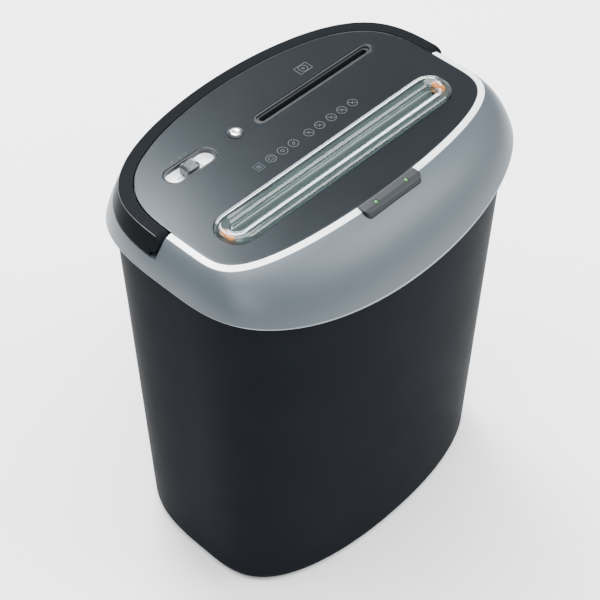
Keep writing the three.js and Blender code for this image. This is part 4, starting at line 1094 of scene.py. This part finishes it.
def knob_ring(inset, z, corner=0.0022):
    """A level ring round the knob, with rounded corners."""
    reach_x, reach_y = knob_half.x - inset - corner, knob_half.y - inset - corner
    ring = []
    for first, (sx, sy) in enumerate(((1, -1), (1, 1), (-1, 1), (-1, -1))):
        for step in range(7):
            turn = (first - 1 + step / 6) * math.pi / 2
            x = knob_x + sx * reach_x + corner * math.cos(turn)
            ring.append(Vector((x, knob_y + sy * reach_y + corner * math.sin(turn), DECK_TOP + z)))
    return ring


knob_rise = knob_high.z - DECK_TOP
knob_foot = WELL_FLOOR + GAP
knob_levels = [
    (0.0004, knob_foot),
    (0, knob_foot + 0.0004),
    (0, knob_rise - 0.0024),
    (0.0003, knob_rise - 0.0019),
    (0.0016, knob_rise - 0.0004),
    (0.0021, knob_rise),
    (0.0030, knob_rise - 0.0003),
]
knob = draw_up("mode_knob_slider", [knob_ring(inset, z) for inset, z in knob_levels])
stem_top = DECK_TOP + knob_foot + 0.001
stem_centre = (knob_x, knob_y, (knob_low.z + stem_top) / 2)
weld_on(knob, block(stem_centre, (*KNOB_STEM, stem_top - knob_low.z)))
smooth(knob, 25)
knob_grey = metallic_paint("knob_silver", (0.045, 0.053, 0.060), 0.45, 0.26, 0.2)
dress(knob, knob_grey)
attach(knob, "mode_switch")
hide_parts("mode_knob")

shutter_low = well_low.z - GAP - SHUTTER["thick"]
shutter_half = stem_slot["length"] / 2 + KNOB_TRAVEL + SHUTTER["lap"]
shutter_size = (2 * shutter_half, 2 * SHUTTER["half_width"], SHUTTER["thick"])
shutter_centre = (knob_x, knob_y, shutter_low + SHUTTER["thick"] / 2)
shutter = placed_block("dust_shutter", shutter_centre, shutter_size)
dress(shutter, white)
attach(shutter, "mode_switch")

# ---- Power button ----
# A small round push button in bright plated plastic, dished in the middle, that travels inside a fixed dark ring.
# Its stem reaches down to the push switch on the board.
button_low, button_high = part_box("power_button")
button_radius = (button_high.x - button_low.x) / 2
bore = button_radius + GAP
RING_LOW = -0.006
CAP_LOW = DECK_TOP - 0.007
CAP_STEM = 0.0018
ring_section = [
    (bore, RING_LOW),
    (BEZEL_RADIUS - 0.001, RING_LOW),
    (BEZEL_RADIUS - 0.001, GAP),
    (BEZEL_RADIUS, GAP),
    (BEZEL_RADIUS, 0.0005),
    (BEZEL_RADIUS - 0.0004, 0.0009),
    (BEZEL_RADIUS - 0.0009, 0.0012),
    (bore + 0.0003, 0.0011),
    (bore, 0.0007),
    (bore, RING_LOW),
]
bezel = turned("button_bezel_ring", [(r, DECK_TOP + z) for r, z in ring_section], (*BUTTON, 0), 72)
smooth(bezel, 30)
chrome = metallic_paint("button_plating", (0.82, 0.84, 0.86), 0.9, 0.14, 0.0)
dress(bezel, pod_paint)
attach(bezel, "head")
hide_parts("button_bezel")

rise = button_high.z
cap_section = [
    (0, button_low.z),
    (CAP_STEM, button_low.z),
    (CAP_STEM, CAP_LOW),
    (button_radius, CAP_LOW),
    (button_radius, rise - 0.0008),
    (button_radius - 0.0003, rise - 0.0003),
    (button_radius - 0.0009, rise),
    (0.0026, rise - 0.0001),
    (0.0017, rise - 0.0004),
    (0.0014, rise - 0.0009),
    (0, rise - 0.0010),
]
cap = turned("power_button_cap", cap_section, (*BUTTON, 0), 72)
smooth(cap, 35)
dress(cap, chrome)
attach(cap, "button")
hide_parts("power_button")

# ---- Head base ----
# The tray that closes the head from below, moulded in black plastic. It drops into the mouth of
# the bin, with an open chute under each pair of cutters, and four screws hold it to the collar.
BASE_CLEARANCE = 0.0025
BASE_WALL = 0.0025
OUTLET_LAP = 0.001
SCREW_HOLE = 0.00205
PLUNGER_GAP = 0.0005
FLOOR_CUT = 0.01  # how far a cut through the floor runs to each side of the underside
DISC_OUTLET = {"side": 0.060, "front": 0.026, "rear": 0.018}
base_inset = BIN_WALL + BASE_CLEARANCE
bottom = base_low.z
tray_levels = [
    (-base_inset - 0.003, bottom),
    (-base_inset - 0.0021, bottom + 0.0003),
    (-base_inset - 0.0009, bottom + 0.0012),
    (-base_inset - 0.0002, bottom + 0.0022),
    (-base_inset, bottom + 0.0032),
    (-base_inset, base_high.z - 0.0004),
    (-base_inset - 0.0004, base_high.z),
    (-base_inset - BASE_WALL + 0.0004, base_high.z),
    (-base_inset - BASE_WALL, base_high.z - 0.0004),
    (-base_inset - BASE_WALL, bottom + BASE_FLOOR + 0.002),
    (-base_inset - BASE_WALL - 0.002, bottom + BASE_FLOOR),
]
tray = draw_up("head_base_tray", [plan_ring(bin_plan(z), grow, z) for grow, z in tray_levels])


def chute_cutter(x0, x1, y0, y1):
    """A block through the tray's floor."""
    return block(((x0 + x1) / 2, (y0 + y1) / 2, bottom), (x1 - x0, y1 - y0, 2 * FLOOR_CUT))


outlet_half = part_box("side_plate_right")[0].x - 0.006
outlet_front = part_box("cutter_shaft_front")[0].y + OUTLET_LAP
outlet_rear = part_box("cutter_shaft_rear")[1].y - OUTLET_LAP
cut_away(tray, chute_cutter(-outlet_half, outlet_half, outlet_front, outlet_rear))
disc_x, disc_y = DISC_SLOT["x"], DISC_SLOT["y"]
disc_chute = (disc_x - DISC_OUTLET["side"], disc_x + DISC_OUTLET["side"])
disc_chute += (disc_y - DISC_OUTLET["front"], disc_y + DISC_OUTLET["rear"])
cut_away(tray, chute_cutter(*disc_chute))
screw_hole = plain_rod(SCREW_HOLE, bottom - FLOOR_CUT, bottom + FLOOR_CUT)
for x, y in screw_places:
    cut_away(tray, turned("hole", screw_hole, (x, y, 0), 24))
plunger_reach = (plunger_high.x - plunger_low.x) / 2 + PLUNGER_GAP
plunger_hole = plain_rod(plunger_reach, bottom - FLOOR_CUT, bottom + FLOOR_CUT)
cut_away(tray, turned("hole", plunger_hole, (0, plunger_y, 0), 32))
smooth(tray, 30)
inner_black = moulded_plastic("inner_plastic", (0.007, 0.0075, 0.008), 0.5, 0.0007, gloss=0.1)
dress(tray, inner_black)
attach(tray, "head")
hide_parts("head_base")

# ---- Inner works ----
# The steel frame, cutters, gears, motor, board and interlock inside the head, with the screws and
# the cord gland. Their plain shapes are kept, each with the finish of what it is made of.
bare_steel = plated_steel("cutter_steel", (0.40, 0.41, 0.42), 0.36, (1, 0.3, 0.3))
nylon = moulded_plastic("gear_nylon", (0.72, 0.69, 0.60), 0.5, 0.0006)
bronze = plated_steel("bearing_bronze", (0.60, 0.40, 0.18), 0.38)
board_green = moulded_plastic("board_resin", (0.015, 0.085, 0.035), 0.35, 0.0012, 0.00003)
film = moulded_plastic("capacitor_film", (0.62, 0.30, 0.03), 0.3, 0.0008)
finish_of_slot = {
    "zinc_steel": steel,
    "cutter_steel": bare_steel,
    "nylon": nylon,
    "bearing_bronze": bronze,
    "board": board_green,
    "film_capacitor": film,
    "black_plastic": inner_black,
    "white_plastic": white,
    "foot_rubber": rubber,
}
for subpart in frame["record"]["subparts"]:
    node = frame["nodes"][subpart["node"]]
    if node.hide_render:
        continue
    slot_name = subpart["material_slot"]
    node.material_slots[0].material = finish_of_slot.get(slot_name, inner_black)

# ---- Studio ----
# A pale floor in a soft white room, lit from overhead and from each side by broad lights. The
# high light behind draws the bright end of the deck, and the low one the white edge of the guard.
bpy.ops.object.select_all(action="DESELECT")
bpy.ops.mesh.primitive_plane_add(size=30, location=(0, 0, 0))
floor = bpy.context.object
floor.name = "floor"
floor_finish, _, _, floor_shader, _ = new_finish("floor_white")
floor_shader.inputs["Base Color"].default_value = (0.93, 0.93, 0.93, 1)
floor_shader.inputs["Roughness"].default_value = 0.9
floor_shader.inputs["Specular IOR Level"].default_value = 0.0
dress(floor, floor_finish)

world = bpy.data.worlds.new("room")
bpy.context.scene.world = world
world.use_nodes = True
world.node_tree.nodes["Background"].inputs["Color"].default_value = (0.95, 0.97, 1.0, 1)
world.node_tree.nodes["Background"].inputs["Strength"].default_value = 0.55


def soft_light(name, place, target, size, power):
    """A large rectangular light aimed at a point."""
    lamp = bpy.data.lights.new(name, "AREA")
    lamp.shape = "RECTANGLE"
    lamp.size, lamp.size_y = size
    lamp.energy = power
    holder = bpy.data.objects.new(name, lamp)
    bpy.context.scene.collection.objects.link(holder)
    holder.location = place
    holder.rotation_euler = (Vector(target) - Vector(place)).to_track_quat("-Z", "Y").to_euler()


deck_middle = (0, 0, DECK_TOP)
soft_light("overhead_light", (0, -0.3, 4.0), (0, 0, 0), (4.0, 4.0), 400)
soft_light("rear_light", (0.43, 1.15, 2.19), deck_middle, (0.8, 0.8), 74)
soft_light("left_light", (-1.6, 1.5, 2.2), deck_middle, (0.8, 0.8), 20)
soft_light("right_light", (1.25, -1.8, 1.6), deck_middle, (1.1, 1.3), 42)
soft_light("low_light", (1.0, 1.75, 0.60), deck_middle, (2.2, 1.1), 90)
soft_light("fill_light", (-1.3, -1.7, 1.4), deck_middle, (1.0, 1.0), 16)

TARGET = Vector((0, 0.020, 0.210))
AZIMUTH, ELEVATION, DISTANCE = math.radians(-45.77), math.radians(46.41), 1.5
camera_data = bpy.data.cameras.new("camera")
camera = bpy.data.objects.new("camera", camera_data)
bpy.context.scene.collection.objects.link(camera)
flat = math.cos(ELEVATION)
back = Vector((math.sin(AZIMUTH) * flat, -math.cos(AZIMUTH) * flat, math.sin(ELEVATION)))
camera.location = TARGET + DISTANCE * back
camera.rotation_euler = (-back).to_track_quat("-Z", "Y").to_euler()
camera_data.sensor_width = 36
camera_data.lens = 103.7
camera_data.shift_x = 0.0159
camera_data.shift_y = -0.0251
bpy.context.scene.camera = camera
